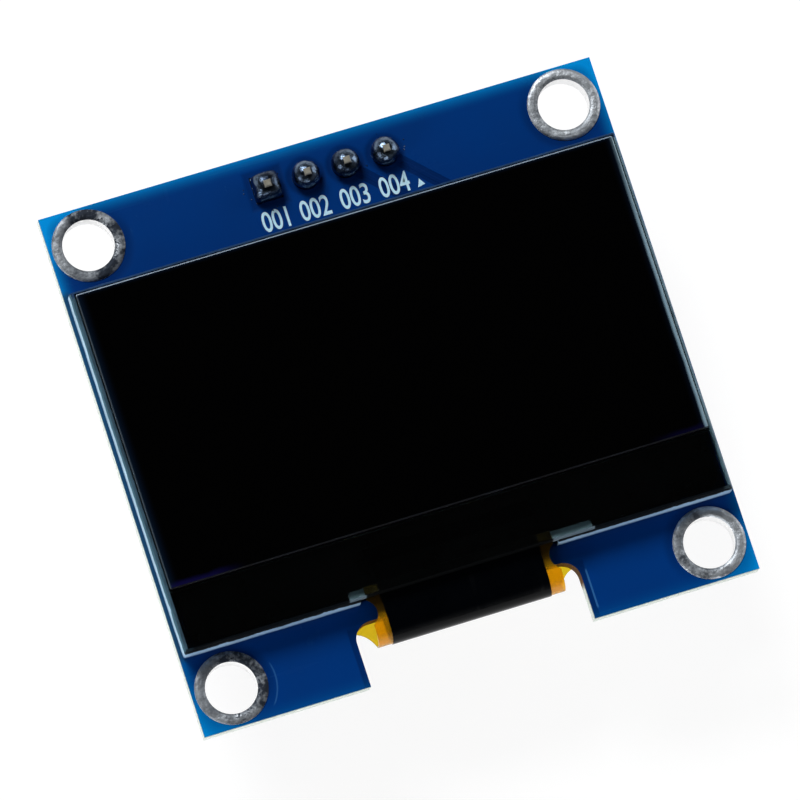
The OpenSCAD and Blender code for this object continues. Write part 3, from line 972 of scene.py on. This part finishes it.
@dataclass(frozen=True)
class FlexFilm(Clear):
    """The amber film of the cable: a brighter yellow where it folds round and under the board, as painted
    light through it from the floor, painted shade towards the glass, and black on its bonded end.
    """

    bond_half: float = 5.05
    bond_y: float = -11.6
    clear_y: float = -13.2
    ear: Colour = Colour(250, 182, 14)
    shade: Colour = Colour(52, 36, 14)

    def tint(self, skin: Skin, smears: Value) -> Value:
        """Adds the amber top, the black end and the brown painted shade to the film.

        Args:
            skin: the material's graph.
            smears: the mask of the smears.

        Returns:
            The colour.
        """
        x, y, z = skin.xyz
        # painted light: below the board's front the film keeps a brighter yellow than its amber top, as if
        # lit through from the floor
        on_top = z.fade(0.2, 0.9)
        film = (on_top * 0.85).mix(super().tint(skin, smears), self.ear)
        wavy = skin.noise(1.4, 2.0) * 0.5 + y
        brown = wavy.fade(self.clear_y + 0.35, self.clear_y + 1.1) * on_top * 0.9
        film = brown.mix(film, self.shade)
        inside = skin.off[0].fade(self.bond_half, self.bond_half + 0.08, 1.0, 0.0)
        return (inside * y.fade(self.bond_y - 0.3, self.bond_y - 0.2) * on_top).mix(film, BLACK)


@dataclass(frozen=True)
class Smear(Clear):
    """Cloudy resin, paler at the glass's edge and darker under it: painted light that reaches it past the
    glass's edge.
    """

    edge_y: float = -11.5
    end_y: float = -11.15
    # lit_edge: painted light on the resin at the glass's edge
    lit_edge: Colour = Colour(190, 206, 216)

    def tint(self, skin: Skin, smears: Value) -> Value:
        """Adds the painted light at the glass's edge to the clear resin.

        Args:
            skin: the material's graph.
            smears: the mask of the smears.

        Returns:
            The colour.
        """
        # painted light: paler at the glass's edge, fading under the glass
        share = skin.xyz[1].fade(self.edge_y, self.end_y, 0.7, 0.0)
        return share.mix(super().tint(skin, smears), self.lit_edge)


TINNED = Metal(
    "mottled_tin", Colour(172, 176, 180), 0.34, dull=Colour(88, 90, 92), patch=1.3, contrast=2.8,
    grain_mm=0.03)
# bright_solder: darkened and tinted blue as painted reflection of the dark studio and the blue board round
# it
SOLDER = Metal(
    "bright_solder", Colour(96, 112, 132), 0.12, dull=Colour(28, 36, 50), patch=0.9, contrast=2.4,
    grain_mm=0.03)
JOINT = Metal(
    "joint_solder", Colour(184, 188, 194), 0.24, dull=Colour(112, 118, 126), patch=1.2, contrast=2.0,
    grain_mm=0.02)
GOLD = Metal(
    "pale_gold_flash", Colour(180, 177, 164), 0.34, dull=Colour(134, 129, 116), patch=2.4, contrast=1.6,
    metallic=0.7)
SILICON = Metal(
    "polished_silicon", Colour(16, 16, 19), 0.06, dull=Colour(8, 8, 10), patch=0.4, contrast=1.0,
    grain_mm=0.001)
FILM = Metal(
    "cathode_film", Colour(70, 72, 84), 0.12, dull=Colour(52, 52, 62), patch=0.3, contrast=1.0,
    grain_mm=0.001)
NYLON = Moulded("header_nylon", Colour(26, 26, 27), 0.45, second=Colour(44, 44, 45), cell=2.0)
FOAM = Moulded(
    "white_foam", Colour(226, 228, 228), 0.75, second=Colour(198, 200, 202), cell=4.0, grain_mm=0.02)
BLACK_TAPE = Moulded("ledge_black", Colour(1, 1, 1), 0.3, 0.03, second=Colour(4, 4, 5), cell=0.6)
COVER_FILM = Moulded(
    "black_cover_film", Colour(1, 2, 4), 0.16, 0.1, second=Colour(6, 8, 11), cell=0.5, grain_mm=0.0015)
PACKAGE = Moulded(
    "moulded_package", Colour(32, 32, 33), 0.5, second=Colour(52, 51, 50), cell=3.0, grain_mm=0.01)
DRYING = Moulded("grey_drying_sheet", Colour(212, 214, 216), 0.7, second=Colour(190, 192, 196), cell=1.5)
EPOXY = Moulded("dark_edge_epoxy", Colour(44, 62, 84), 0.35, second=Colour(60, 84, 108), cell=2.0)
INK = Moulded(
    "white_ink", Colour(206, 242, 255), 0.55, 0.1, second=Colour(170, 214, 240), cell=7.0, share=0.5)
BEAD = Fillet("pale_adhesive", Colour(176, 210, 232), 0.45, 0.06)
GLASS = Clear("cut_glass", Colour(226, 242, 244), 0.005, lets_lamps_in=0.3, ground_sides=0.4)
GROUND_EDGE = GroundEdge("ground_glass_edge", Colour(104, 132, 146), 0.6, 0.04)
RESIN = Smear(
    "cloudy_resin", Colour(78, 92, 102), 0.3, 0.1, through=0.25, cloud=Colour(30, 38, 44), cloud_share=1.0)
# the film's yellow is brightened as painted light through it from the floor; its amber is the ear colour
POLYIMIDE = FlexFilm(
    "amber_polyimide", Colour(255, 228, 48), 0.14, 0.1, through=0.8, cloud=Colour(250, 190, 16),
    cloud_share=0.5)


# ---------------------------------------------------------------- making pieces

def node_box(node: str) -> tuple[Vector, Vector]:
    """A CAD node's lowest and highest corners, in millimetres."""
    low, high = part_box(node)
    return low / MM, high / MM


def nodes_of(start: str) -> list[str]:
    """The CAD nodes whose name starts so, in order."""
    return sorted(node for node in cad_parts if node.startswith(start))


def middle(node: str) -> tuple[Point2, float]:
    """The centre of a round CAD node on the board, and its radius."""
    low, high = node_box(node)
    return ((low.x + high.x) / 2, (low.y + high.y) / 2), (high.x - low.x) / 2


def put(name: str, data: bpy.types.ID) -> bpy.types.Object:
    """Adds an object to the scene.

    Args:
        name: its name.
        data: its mesh, curve, lamp or camera.

    Returns:
        The object.
    """
    made = bpy.data.objects.new(name, data)
    bpy.context.scene.collection.objects.link(made)
    return made


def settled(holder: bpy.types.Object) -> bpy.types.Mesh:
    """The plain mesh that a text or a modified object comes out as."""
    bpy.context.view_layer.update()
    return bpy.data.meshes.new_from_object(holder.evaluated_get(bpy.context.evaluated_depsgraph_get()))


def uneven(place: Vector) -> float:
    """A smooth unevenness between about -1 and 1."""
    return noise.noise(place)


def bridge(shape: bmesh.types.BMesh, rings: list[list[bmesh.types.BMVert]]) -> None:
    """Joins outlines of the same number of corners, each to the next.

    Args:
        shape: the shape.
        rings: its outlines in order.
    """
    for before, after in zip(rings, rings[1:]):
        for i in range(len(before)):
            j = (i + 1) % len(before)
            shape.faces.new((before[i], before[j], after[j], after[i]))


def to_mesh(shape: bmesh.types.BMesh, smooth_below: float = 0.0) -> bpy.types.Mesh:
    """Turns a shape in millimetres into a mesh in metres.

    Args:
        shape: the shape, which is freed.
        smooth_below: the angle in degrees under which edges are shaded smooth.

    Returns:
        The mesh.
    """
    bmesh.ops.remove_doubles(shape, verts=shape.verts, dist=1e-5)
    bmesh.ops.recalc_face_normals(shape, faces=shape.faces)
    bmesh.ops.scale(shape, vec=(MM, MM, MM), verts=shape.verts)
    if smooth_below:
        for face in shape.faces:
            face.smooth = True
        for edge in shape.edges:
            if len(edge.link_faces) == 2 and edge.calc_face_angle() > math.radians(smooth_below):
                edge.smooth = False
    mesh = bpy.data.meshes.new("piece")
    shape.to_mesh(mesh)
    shape.free()
    return mesh


def bevelled_box(low: Vector, high: Vector, width: float, steps: int = 2) -> bmesh.types.BMesh:
    """A box with all its edges bevelled.

    Args:
        low: the lowest corner, in millimetres.
        high: the highest corner.
        width: the bevel's width.
        steps: the bevel's segments.

    Returns:
        The shape.
    """
    shape = bmesh.new()
    bmesh.ops.create_cube(shape, size=1.0)
    bmesh.ops.scale(shape, vec=high - low, verts=shape.verts)
    bmesh.ops.translate(shape, vec=(low + high) / 2, verts=shape.verts)
    bmesh.ops.bevel(shape, geom=shape.edges[:], offset=width, segments=steps, affect="EDGES", profile=0.5)
    return shape


def lettering(text: str, cap_height: float, squeeze: float, thickness: float) -> bpy.types.Mesh:
    """A line of lettering, centred on the origin and lying on Z = 0.

    Args:
        text: what it says.
        cap_height: the height of its figures, in millimetres.
        squeeze: the width of the figures, as a share of the font's.
        thickness: the thickness of the ink.

    Returns:
        The mesh, in millimetres.
    """
    curve = bpy.data.curves.new("lettering", "FONT")
    curve.body = text
    curve.size = 1.0
    curve.offset = 0.012
    curve.resolution_u = 5
    curve.extrude = 0.5
    holder = put("lettering", curve)
    mesh = settled(holder)
    bpy.data.objects.remove(holder)
    bpy.data.curves.remove(curve)
    low, high = ([pick(v.co[i] for v in mesh.vertices) for i in range(3)] for pick in (min, max))
    factor = cap_height / (high[1] - low[1])
    centre = Vector(((low[0] + high[0]) / 2, (low[1] + high[1]) / 2, low[2]))
    mesh.transform(Matrix.Translation(-centre))
    mesh.transform(Matrix.Diagonal((factor * squeeze, factor, thickness / (high[2] - low[2]), 1.0)))
    return mesh


class Tree(Graph):
    """A Geometry Nodes tree with named inputs, whose result becomes a plain mesh."""

    def __init__(self, name: str, inputs: dict[str, float | int]) -> None:
        """Starts a tree.

        Args:
            name: the tree's name.
            inputs: the names of its inputs and their values.
        """
        super().__init__(bpy.data.node_groups.new(name, "GeometryNodeTree"))
        face = self.tree.interface
        self.values: dict[str, float | int] = {}
        for label, value in inputs.items():
            kind = "NodeSocketInt" if isinstance(value, int) else "NodeSocketFloat"
            made = face.new_socket(label, in_out="INPUT", socket_type=kind)
            self.values[made.identifier] = value
        face.new_socket("Geometry", in_out="OUTPUT", socket_type="NodeSocketGeometry")
        self.start = self.node("NodeGroupInput")

    def given(self, label: str) -> Value:
        """An input of the tree."""
        return Value(self, self.start.outputs[label])

    def offset(self, x: object = 0.0, y: object = 0.0, z: object = 0.0) -> Value:
        """A vector from its parts."""
        return self.made("ShaderNodeCombineXYZ", {0: x, 1: y, 2: z})

    def shake(self, low: Point3, high: Point3, seed: int) -> tuple[Value, ...]:
        """Three random values for each copy.

        Args:
            low: the lowest values.
            high: the highest values.
            seed: the seed.

        Returns:
            The values.
        """
        given = {"Min": low, "Max": high, "Seed": seed}
        return self.split(self.made("FunctionNodeRandomValue", given, "Value", data_type="FLOAT_VECTOR"))

    def row(self, start: Point3) -> Value:
        """A row of points along X, from the inputs Count and Pitch.

        Args:
            start: the first point, in metres.

        Returns:
            The points.
        """
        step = self.offset(self.given("Pitch"))
        given = {"Count": self.given("Count"), "Start Location": start, "Offset": step}
        return self.made("GeometryNodeMeshLine", given)

    def finish(
        self, points: Value, copied: Value, finish: Finish, scale: object = (1.0, 1.0, 1.0)
    ) -> bpy.types.Mesh:
        """Copies a shape to each point, runs the tree and gives back the mesh.

        Args:
            points: the points.
            copied: the shape.
            finish: what the copies are made of.
            scale: the size of each copy.

        Returns:
            The mesh, in metres.
        """
        copies = self.made(
            "GeometryNodeInstanceOnPoints", {"Points": points, "Instance": copied, "Scale": scale})
        real = self.made("GeometryNodeRealizeInstances", {0: copies})
        dressed = self.made(
            "GeometryNodeSetMaterial", {"Geometry": real, "Material": finish.material()})
        self.feed(self.node("NodeGroupOutput").inputs[0], dressed)
        holder = put("holder", bpy.data.meshes.new("holder"))
        modifier = holder.modifiers.new("nodes", "NODES")
        modifier.node_group = self.tree
        for key, value in self.values.items():
            modifier[key] = value
        mesh = settled(holder)
        bpy.data.objects.remove(holder)
        return mesh


class SubAssembly:
    """What every sub-assembly does: it dresses CAD nodes and adds pieces of its own."""

    def clothe(self, start: str, finish: Finish) -> None:
        """Gives a finish to each CAD node whose name starts so.

        Args:
            start: a node's name, or how the names of equal nodes start.
            finish: their finish.
        """
        for node in nodes_of(start):
            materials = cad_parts[node].data.materials
            materials.clear()
            materials.append(finish.material())
            log.info("%s wears %s", node, finish.name)

    def cut_edges(self, piece: bpy.types.Object, finish: Finish, limit: float = 0.97) -> None:
        """Gives the side faces and bevels of a plate their own finish.

        Args:
            piece: the plate.
            finish: the finish of its edges.
            limit: how far upright a face's normal may point and still be an edge.
        """
        piece.data.materials.append(finish.material())
        for face in piece.data.polygons:
            face.material_index = int(abs(face.normal.z) < limit)

    def add(
        self, name: str, mesh: bpy.types.Mesh, slot: str, finish: Finish, stands_for: tuple[str, ...] = ()
    ) -> bpy.types.Object:
        """Adds a piece that is finished and in its place.

        Args:
            name: the piece's name.
            mesh: its mesh, in metres.
            slot: not used.
            finish: its finish.
            stands_for: the CAD nodes that it replaces.

        Returns:
            The piece.
        """
        mesh.name = name
        mesh.materials.clear()
        mesh.materials.append(finish.material())
        piece = put(name, mesh)
        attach(piece, ROOT)
        if stands_for:
            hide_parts(*stands_for)
        log.info("%s: %d faces", name, len(mesh.polygons))
        return piece


# ---------------------------------------------------------------- sub-assemblies

@dataclass
class Board(SubAssembly):
    """The board, its tinned rings and what is printed on it."""

    layout: BoardLayout
    label_y: float = 12.5
    label_height: float = 1.3
    label_squeeze: float = 0.72
    ink_thickness: float = 0.012
    triangle_x: float = 1.52
    triangle: tuple[Point2, ...] = ((-0.22, 11.9), (0.26, 12.0), (-0.01, 12.42))

    def build(self) -> None:
        """Dresses the board and prints it on both faces."""
        place = self.layout
        self.clothe("pcb", SolderMask("blue_solder_mask", Colour(0, 54, 124), 0.22, 0.16, layout=place))
        self.clothe("mounting_ring_", RingTin(
            "ring_tin", Colour(192, 198, 204), 0.5, dull=Colour(52, 58, 68), patch=0.9, contrast=3.0,
            centre=place.ring, middle_r=place.ring_r - 0.32, half_width=0.34))
        self.clothe("header_pad_", SOLDER)
        low, high = node_box("pcb")
        over = Matrix.Rotation(math.pi, 4, "Y")
        for number, pad in enumerate(place.pads, start=1):
            for name, turn, where in (
                ("front", Matrix.Identity(4), (pad[0] - 0.05, self.label_y, high.z)),
                ("back", over, (pad[0], self.label_y - 0.35, low.z)),
            ):
                text = f"{number:03d}"
                mesh = lettering(text, self.label_height, self.label_squeeze, self.ink_thickness)
                mesh.transform(Matrix.Scale(MM, 4) @ Matrix.Translation(where) @ turn)
                self.add(f"{name}_figures_{number}", mesh, "board_blue", INK)
        self.add("front_triangle", self.print_triangle(high.z), "board_blue", INK)

    def print_triangle(self, z: float) -> bpy.types.Mesh:
        """The small printed triangle at the end of the figures.

        Args:
            z: the level of the board's face.

        Returns:
            The mesh.
        """
        shape = bmesh.new()
        right = self.layout.pads[-1][0] + self.triangle_x
        low, high = (
            [shape.verts.new((right + x, y, level)) for x, y in self.triangle]
            for level in (z, z + self.ink_thickness))
        shape.faces.new(reversed(low))
        shape.faces.new(high)
        bridge(shape, [low, high])
        return to_mesh(shape)


@dataclass
class Header(SubAssembly):
    """The four pins, their solder beads and the plastic strip behind the board."""

    layout: BoardLayout
    ball_r: float = 0.88
    plug_r: float = 0.48
    pad_t: float = 0.05
    around: int = 64
    rows: int = 22
    squareness: float = 9.0
    square_height: float = 0.42
    least_r: float = 0.02
    noise_x: tuple[float, ...] = (21.3, 78.1, 163.3, 220.1)
    noise_yz: Point2 = (2.3, 0.7)

    def build(self) -> None:
        """Dresses the pins and the strip, and makes the beads and the flux specks."""
        self.clothe("header_pin_", GOLD)
        self.clothe("header_strip", NYLON)
        for number, pad in enumerate(self.layout.pads, start=1):
            node = f"solder_joint_{number}"
            self.add(f"solder_bead_{number}", self.bead(number, pad), "solder", SOLDER, (node,))
        for name, pad, seed in (("first", self.layout.pads[0], 5), ("last", self.layout.pads[-1], 12)):
            self.add(f"flux_specks_{name}", self.specks(pad, seed), "solder", SOLDER)

    def bead(self, number: int, pad: Point2) -> bpy.types.Mesh:
        """One bead: a ball on a wetted foot, square on the first pad, with the plug in its hole.

        Args:
            number: the bead's number, from 1.
            pad: its place.

        Returns:
            The mesh.
        """
        low, high = node_box(f"solder_joint_{number}")
        pad_z = node_box("pcb")[1].z + self.pad_t
        top = high.z - pad_z
        centre = top - self.ball_r
        square = number == 1
        foot = self.layout.pad_r - (0.0 if square else 0.04)
        foot_height = 0.34 if square else 0.05
        shape = bmesh.new()
        shift = Vector((self.noise_x[number - 1], *self.noise_yz))
        rings = [self.ring(shape, pad, z, self.plug_r, 2.0, None) for z in (low.z, pad_z)]
        for row in range(self.rows):
            turn = row / self.rows * math.pi / 2
            z = top * (1 - math.cos(turn)) if square else top * math.sin(turn)
            ball = math.sqrt(max(self.ball_r ** 2 - (z - centre) ** 2, self.least_r ** 2))
            r = ball + (foot - ball) * math.exp(-z / foot_height)
            power = 2.0 + (self.squareness * math.exp(-z / self.square_height) if square else 0.0)
            rings.append(self.ring(shape, pad, pad_z + z, r, power, shift))
        bridge(shape, rings)
        shape.faces.new(reversed(rings[0]))
        tip = shape.verts.new((pad[0], pad[1], high.z))
        for i in range(self.around):
            shape.faces.new((rings[-1][i], rings[-1][(i + 1) % self.around], tip))
        return to_mesh(shape, 60.0)

    def ring(
        self, shape: bmesh.types.BMesh, pad: Point2, z: float, r: float, power: float, shift: Vector | None
    ) -> list[bmesh.types.BMVert]:
        """One outline of a bead, round or squared, uneven as solder is.

        Args:
            shape: the shape that it joins.
            pad: its centre.
            z: its height.
            r: its half width.
            power: 2 for a circle, more for a squarer outline.
            shift: where the unevenness is read, or None for an even outline.

        Returns:
            Its corners.
        """
        cells, depth = 1.3, 0.05
        corners = []
        for i in range(self.around):
            turn = 2 * math.pi * i / self.around
            c, s = math.cos(turn), math.sin(turn)
            reach = r / (abs(c) ** power + abs(s) ** power) ** (1 / power)
            if shift is not None:
                reach *= 1 + depth * uneven(Vector((c * r * cells, s * r * cells, z * cells)) + shift)
            corners.append(shape.verts.new((pad[0] + c * reach, pad[1] + s * reach, z)))
        return corners

    def specks(self, pad: Point2, seed: int) -> bpy.types.Mesh:
        """Small specks of spattered solder round a pad.

        Args:
            pad: the pad's centre.
            seed: the seed of their places.

        Returns:
            The mesh.
        """
        tree = Tree("flux_specks", {"Count": 9, "Reach": 1.45 * MM, "Size": 0.045 * MM})
        angle, share, size = tree.shake((0.0, 0.72, 0.4), (math.tau, 1.0, 1.3), seed)
        reach = share * tree.given("Reach")
        x = tree.math("COSINE", angle) * reach + pad[0] * MM
        y = tree.math("SINE", angle) * reach + pad[1] * MM
        spots = tree.offset(x, y, node_box("pcb")[1].z * MM)
        points = tree.made("GeometryNodePoints", {"Count": tree.given("Count"), "Position": spots})
        ball = tree.made("GeometryNodeMeshIcoSphere", {"Subdivisions": 2, "Radius": tree.given("Size")})
        return tree.finish(points, ball, SOLDER, tree.offset(size, size, 0.8))


@dataclass
class Panel(SubAssembly):
    """The display: two glass plates, the polariser, the bead round them and what is inside."""

    ground: float = 0.12
    edge: float = 0.08
    lift: float = 0.012
    sheet_lift: float = 0.003
    gap_half: float = 6.3
    bead_step: float = 0.35
    bead_inset: float = 0.004

    def build(self) -> None:
        """Makes the front glass, the polariser and the bead, and dresses the rest."""
        self.clothe("rear_glass", GLASS)
        self.clothe("desiccant", DRYING)
        self.clothe("edge_seal", EPOXY)
        self.clothe("oled_film", FILM)
        self.clothe("mounting_tape", FOAM)
        low, high = node_box("front_glass")
        glass = bevelled_box(low + Vector((0, 0, self.lift)), high, self.ground, 3)
        plate = self.add("front_glass_plate", to_mesh(glass), "display_glass", GLASS, ("front_glass",))
        self.cut_edges(plate, GROUND_EDGE)
        low, high = node_box("polarizer")
        sheet = bevelled_box(low + Vector((0, 0, self.sheet_lift)), high, self.edge)
        finish = Polariser(
            "black_polariser", Colour(0.5, 0.5, 0.7), 0.07,
            half_w=high.x, middle_y=(low.y + high.y) / 2, half_h=(high.y - low.y) / 2)
        self.add("polariser_sheet", to_mesh(sheet), "polarizer_black", finish, ("polarizer",))
        self.add("adhesive_fillet", self.bead(), "clear_adhesive", BEAD, ("adhesive_bead",))

    def bead(self) -> bpy.types.Mesh:
        """The adhesive bead: a rounded, slightly wavy wall, open where the cable comes out.

        Returns:
            The mesh.
        """
        low, high = node_box("front_glass")
        stops = [Vector(stop) for stop in (
            (self.gap_half, low.y), (high.x, low.y), (high.x, high.y), (low.x, high.y), (low.x, low.y),
            (-self.gap_half, low.y))]
        outs = [
            Vector((end.y - start.y, start.x - end.x)).normalized() for start, end in zip(stops, stops[1:])]
        shape = bmesh.new()
        rings = []
        last = len(outs) - 1
        for number, (start, end, out) in enumerate(zip(stops, stops[1:], outs)):
            run = end - start
            steps = max(int(run.length / self.bead_step), 2)
            for step in range(number > 0, steps + (number == last)):
                rings.append(self.section(shape, start + run * step / steps, out))
            if number < last:
                for share in (0.15, 0.5, 0.85):
                    turned = (out * (1 - share) + outs[number + 1] * share).normalized()
                    rings.append(self.section(shape, end, turned))
        bridge(shape, rings)
        shape.faces.new(reversed(rings[0]))
        shape.faces.new(rings[-1])
        return to_mesh(shape, 50.0)

    def section(self, shape: bmesh.types.BMesh, place: Vector, out: Vector) -> list[bmesh.types.BMVert]:
        """One cross-section of the bead.

        Args:
            shape: the shape that it joins.
            place: its place on the glass's edge.
            out: the direction away from the glass.

        Returns:
            Its corners.
        """
        low, high = node_box("adhesive_bead")
        wall = node_box("front_glass")[0].x - low.x

        def wave(cells: float, level: float) -> float:
            """The unevenness at this place."""
            return uneven(Vector((place.x * cells, place.y * cells, level)))

        swell = 1 + 0.16 * wave(0.55, 4.0) + 0.07 * wave(2.1, 9.0)
        tall = (high.z - low.z) * (1 + 0.05 * wave(0.8, 1.5))
        profile = (
            (self.bead_inset, 0.0), (wall, 0.0), (wall * swell, 0.55 * tall),
            (wall * 0.85 * swell, 0.86 * tall), (wall * 0.5, 0.97 * tall), (self.bead_inset, tall))
        return [
            shape.verts.new((place.x + out.x * u, place.y + out.y * u, low.z + v)) for u, v in profile]


@dataclass
class Ledge(SubAssembly):
    """What lies under the front glass's ledge."""

    def build(self) -> None:
        """Dresses the driver chip, the black tape and the resin."""
        self.clothe("driver_chip", SILICON)
        self.clothe("ledge_tape", BLACK_TAPE)
        self.clothe("bond_resin_", RESIN)


@dataclass
class FlexCable(SubAssembly):
    """The amber cable, its black cover film and the soldered contacts of its tail."""

    pitch: float = 0.65
    count: int = 30
    contact_w: float = 0.35
    bead_half: float = 0.22

    def build(self) -> None:
        """Dresses the cable and makes its solder beads."""
        self.clothe("flex_cable", POLYIMIDE)
        self.clothe("flex_coverlay", COVER_FILM)
        self.clothe("flex_contacts", TINNED)
        self.clothe("flex_pads", TINNED)
        self.add("contact_solder", self.contacts(), "solder", JOINT, ("flex_solder",))

    def contacts(self) -> bpy.types.Mesh:
        """A long low bead over each contact, from the cable's tail onto its pad.

        Returns:
            The mesh.
        """
        low, high = node_box("flex_solder")
        tree = Tree("contact_solder", {
            "Count": self.count, "Pitch": self.pitch * MM, "Width": self.bead_half * MM,
            "Length": (high.y - low.y) / 2 * MM, "Height": (high.z - low.z) * MM})
        start = ((low.x + self.contact_w / 2) * MM, (low.y + high.y) / 2 * MM, high.z * MM)
        ball = tree.made("GeometryNodeMeshUVSphere", {"Segments": 16, "Rings": 12, "Radius": 1.0})
        shares = tree.shake((0.9, 0.88, 0.85), (1.1, 1.0, 1.0), 17)
        size = (share * tree.given(label) for share, label in zip(shares, ("Width", "Length", "Height")))
        return tree.finish(tree.row(start), ball, JOINT, tree.offset(*size))


@dataclass
class BackParts(SubAssembly):
    """The regulator, capacitors and resistors on the board's back."""

    frame_w: float = 1.3
    frame_h: float = 2.8
    line: float = 0.12
    line_t: float = 0.012
    line_z: float = -0.008
    end_length: float = 0.32

    def build(self) -> None:
        """Dresses the parts and prints a frame round each chip."""
        for kind, colour, second in (
            ("capacitor", Colour(166, 132, 94), Colour(128, 98, 68)),
            ("resistor", Colour(24, 24, 27), Colour(48, 48, 52)),
        ):
            low, high = node_box(f"{kind}_1")
            self.clothe(f"{kind}_", ChipPart(
                f"chip_{kind}", colour, 0.35, second=second, row_y=(low.y + high.y) / 2,
                body_half=(high.y - low.y) / 2 - self.end_length))
            self.add(f"chip_{kind}_frames", self.frames(nodes_of(f"{kind}_")), "board_blue", INK)
        self.clothe("regulator_body", PACKAGE)
        self.clothe("regulator_leads", TINNED)
        self.clothe("chip_pads", TINNED)
        self.clothe("chip_solder", JOINT)

    def frames(self, nodes: list[str]) -> bpy.types.Mesh:
        """Printed frames round a row of chips.

        Args:
            nodes: the chips' nodes, evenly spaced.

        Returns:
            The mesh.
        """
        first, last = (middle(nodes[i])[0] for i in (0, -1))
        tree = Tree("printed_frames", {
            "Count": len(nodes), "Pitch": (last[0] - first[0]) / (len(nodes) - 1) * MM,
            "Width": self.frame_w * MM, "Height": self.frame_h * MM, "Line": self.line * MM})
        quad = "GeometryNodeCurvePrimitiveQuadrilateral"
        outline = tree.made(quad, {"Width": tree.given("Width"), "Height": tree.given("Height")})
        profile = tree.made(quad, {"Width": tree.given("Line"), "Height": self.line_t * MM})
        swept = tree.made("GeometryNodeCurveToMesh", {"Curve": outline, "Profile Curve": profile})
        start = (first[0] * MM, first[1] * MM, self.line_z * MM)
        return tree.finish(tree.row(start), swept, INK)


# ---------------------------------------------------------------- floor, light and camera

@dataclass(frozen=True)
class Lamp:
    """One soft lamp, aimed at the module."""

    name: str
    place_m: Point3
    size_m: float
    watts: float


@dataclass
class Studio:
    """The pale floor, the soft lamps and the camera."""

    floor_gap: float = 0.05
    floor_half_m: float = 3.0
    lamps: tuple[Lamp, ...] = field(default_factory=lambda: (
        Lamp("key", (-0.12, 0.42, 0.42), 0.28, 3.0),
        Lamp("left", (-0.52, -0.20, 0.16), 0.26, 1.2),
        Lamp("right", (0.55, 0.10, 0.20), 0.40, 1.0),
        Lamp("near", (-0.10, -0.52, 0.13), 0.26, 1.0),
    ))
    camera_place: Point3 = (-85.79, -98.50, 573.73)
    camera_aim: Point3 = (-0.04, -0.37, 1.2)
    camera_turn_deg: float = 17.96
    lens_mm: float = 435.7

    def build(self) -> None:
        """Makes everything that isn't part of the module."""
        self.floor()
        self.sky()
        for lamp in self.lamps:
            self.light(lamp)
        self.camera()

    def floor(self) -> None:
        """A plain pale floor just under the lowest pin."""
        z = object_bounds()[0].z - self.floor_gap * MM
        half = self.floor_half_m
        mesh = bpy.data.meshes.new("floor")
        corners = [(-half, -half, z), (half, -half, z), (half, half, z), (-half, half, z)]
        mesh.from_pydata(corners, [], [(0, 1, 2, 3)])
        mesh.materials.append(Paper("white_paper", Colour(250, 250, 250), 0.9, 0.0).material())
        put("floor", mesh)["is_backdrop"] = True

    def sky(self) -> None:
        """A dim studio, white at the horizon and dark overhead."""
        world = bpy.data.worlds.new("studio")
        bpy.context.scene.world = world
        world.use_nodes = True
        graph = Graph(world.node_tree)
        height = graph.split(graph.node("ShaderNodeTexCoord").outputs["Generated"])[2]
        horizon, side = height.fade(0.06, 0.16, 1.0, 0.0), height.fade(0.3, 0.75, 0.22, 0.008)
        seen = graph.made("ShaderNodeLightPath", {}, "Is Camera Ray")
        background = world.node_tree.nodes["Background"]
        graph.feed(background.inputs["Color"], WHITE)
        graph.feed(background.inputs["Strength"], horizon.at_least(side).at_least(seen))

    def light(self, lamp: Lamp) -> None:
        """Places one lamp.

        Args:
            lamp: the lamp.
        """
        data = bpy.data.lights.new(lamp.name, "AREA")
        data.shape = "DISK"
        data.size = lamp.size_m
        data.energy = lamp.watts
        made = put(lamp.name, data)
        made.location = lamp.place_m
        made.rotation_euler = (-Vector(lamp.place_m)).to_track_quat("-Z", "Y").to_euler()

    def camera(self) -> None:
        """The camera, high above and a little to the near left, turned about its own axis."""
        data = bpy.data.cameras.new("camera")
        data.lens = self.lens_mm
        data.sensor_width = 36.0
        data.clip_start, data.clip_end = 0.01, 20.0
        made = put("camera", data)
        place, aim = Vector(self.camera_place) * MM, Vector(self.camera_aim) * MM
        back = (place - aim).normalized()
        turn = math.radians(self.camera_turn_deg)
        right = Vector((math.sin(turn), math.cos(turn), 0.0)).cross(back).normalized()
        axes = Matrix((right, back.cross(right), back)).transposed().to_4x4()
        made.matrix_world = Matrix.Translation(place) @ axes
        bpy.context.scene.camera = made


def main() -> None:
    """Builds the sub-assemblies in order, then the studio."""
    logging.basicConfig(level=logging.INFO, format="%(name)s: %(message)s")
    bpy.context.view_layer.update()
    layout = BoardLayout.read()
    for part in (Board(layout), Header(layout), Panel(), Ledge(), FlexCable(), BackParts()):
        log.info("building %s", type(part).__name__)
        part.build()
    Studio().build()
    bpy.context.scene.view_settings.view_transform = "Standard"


if __name__ == "__main__":
    main()
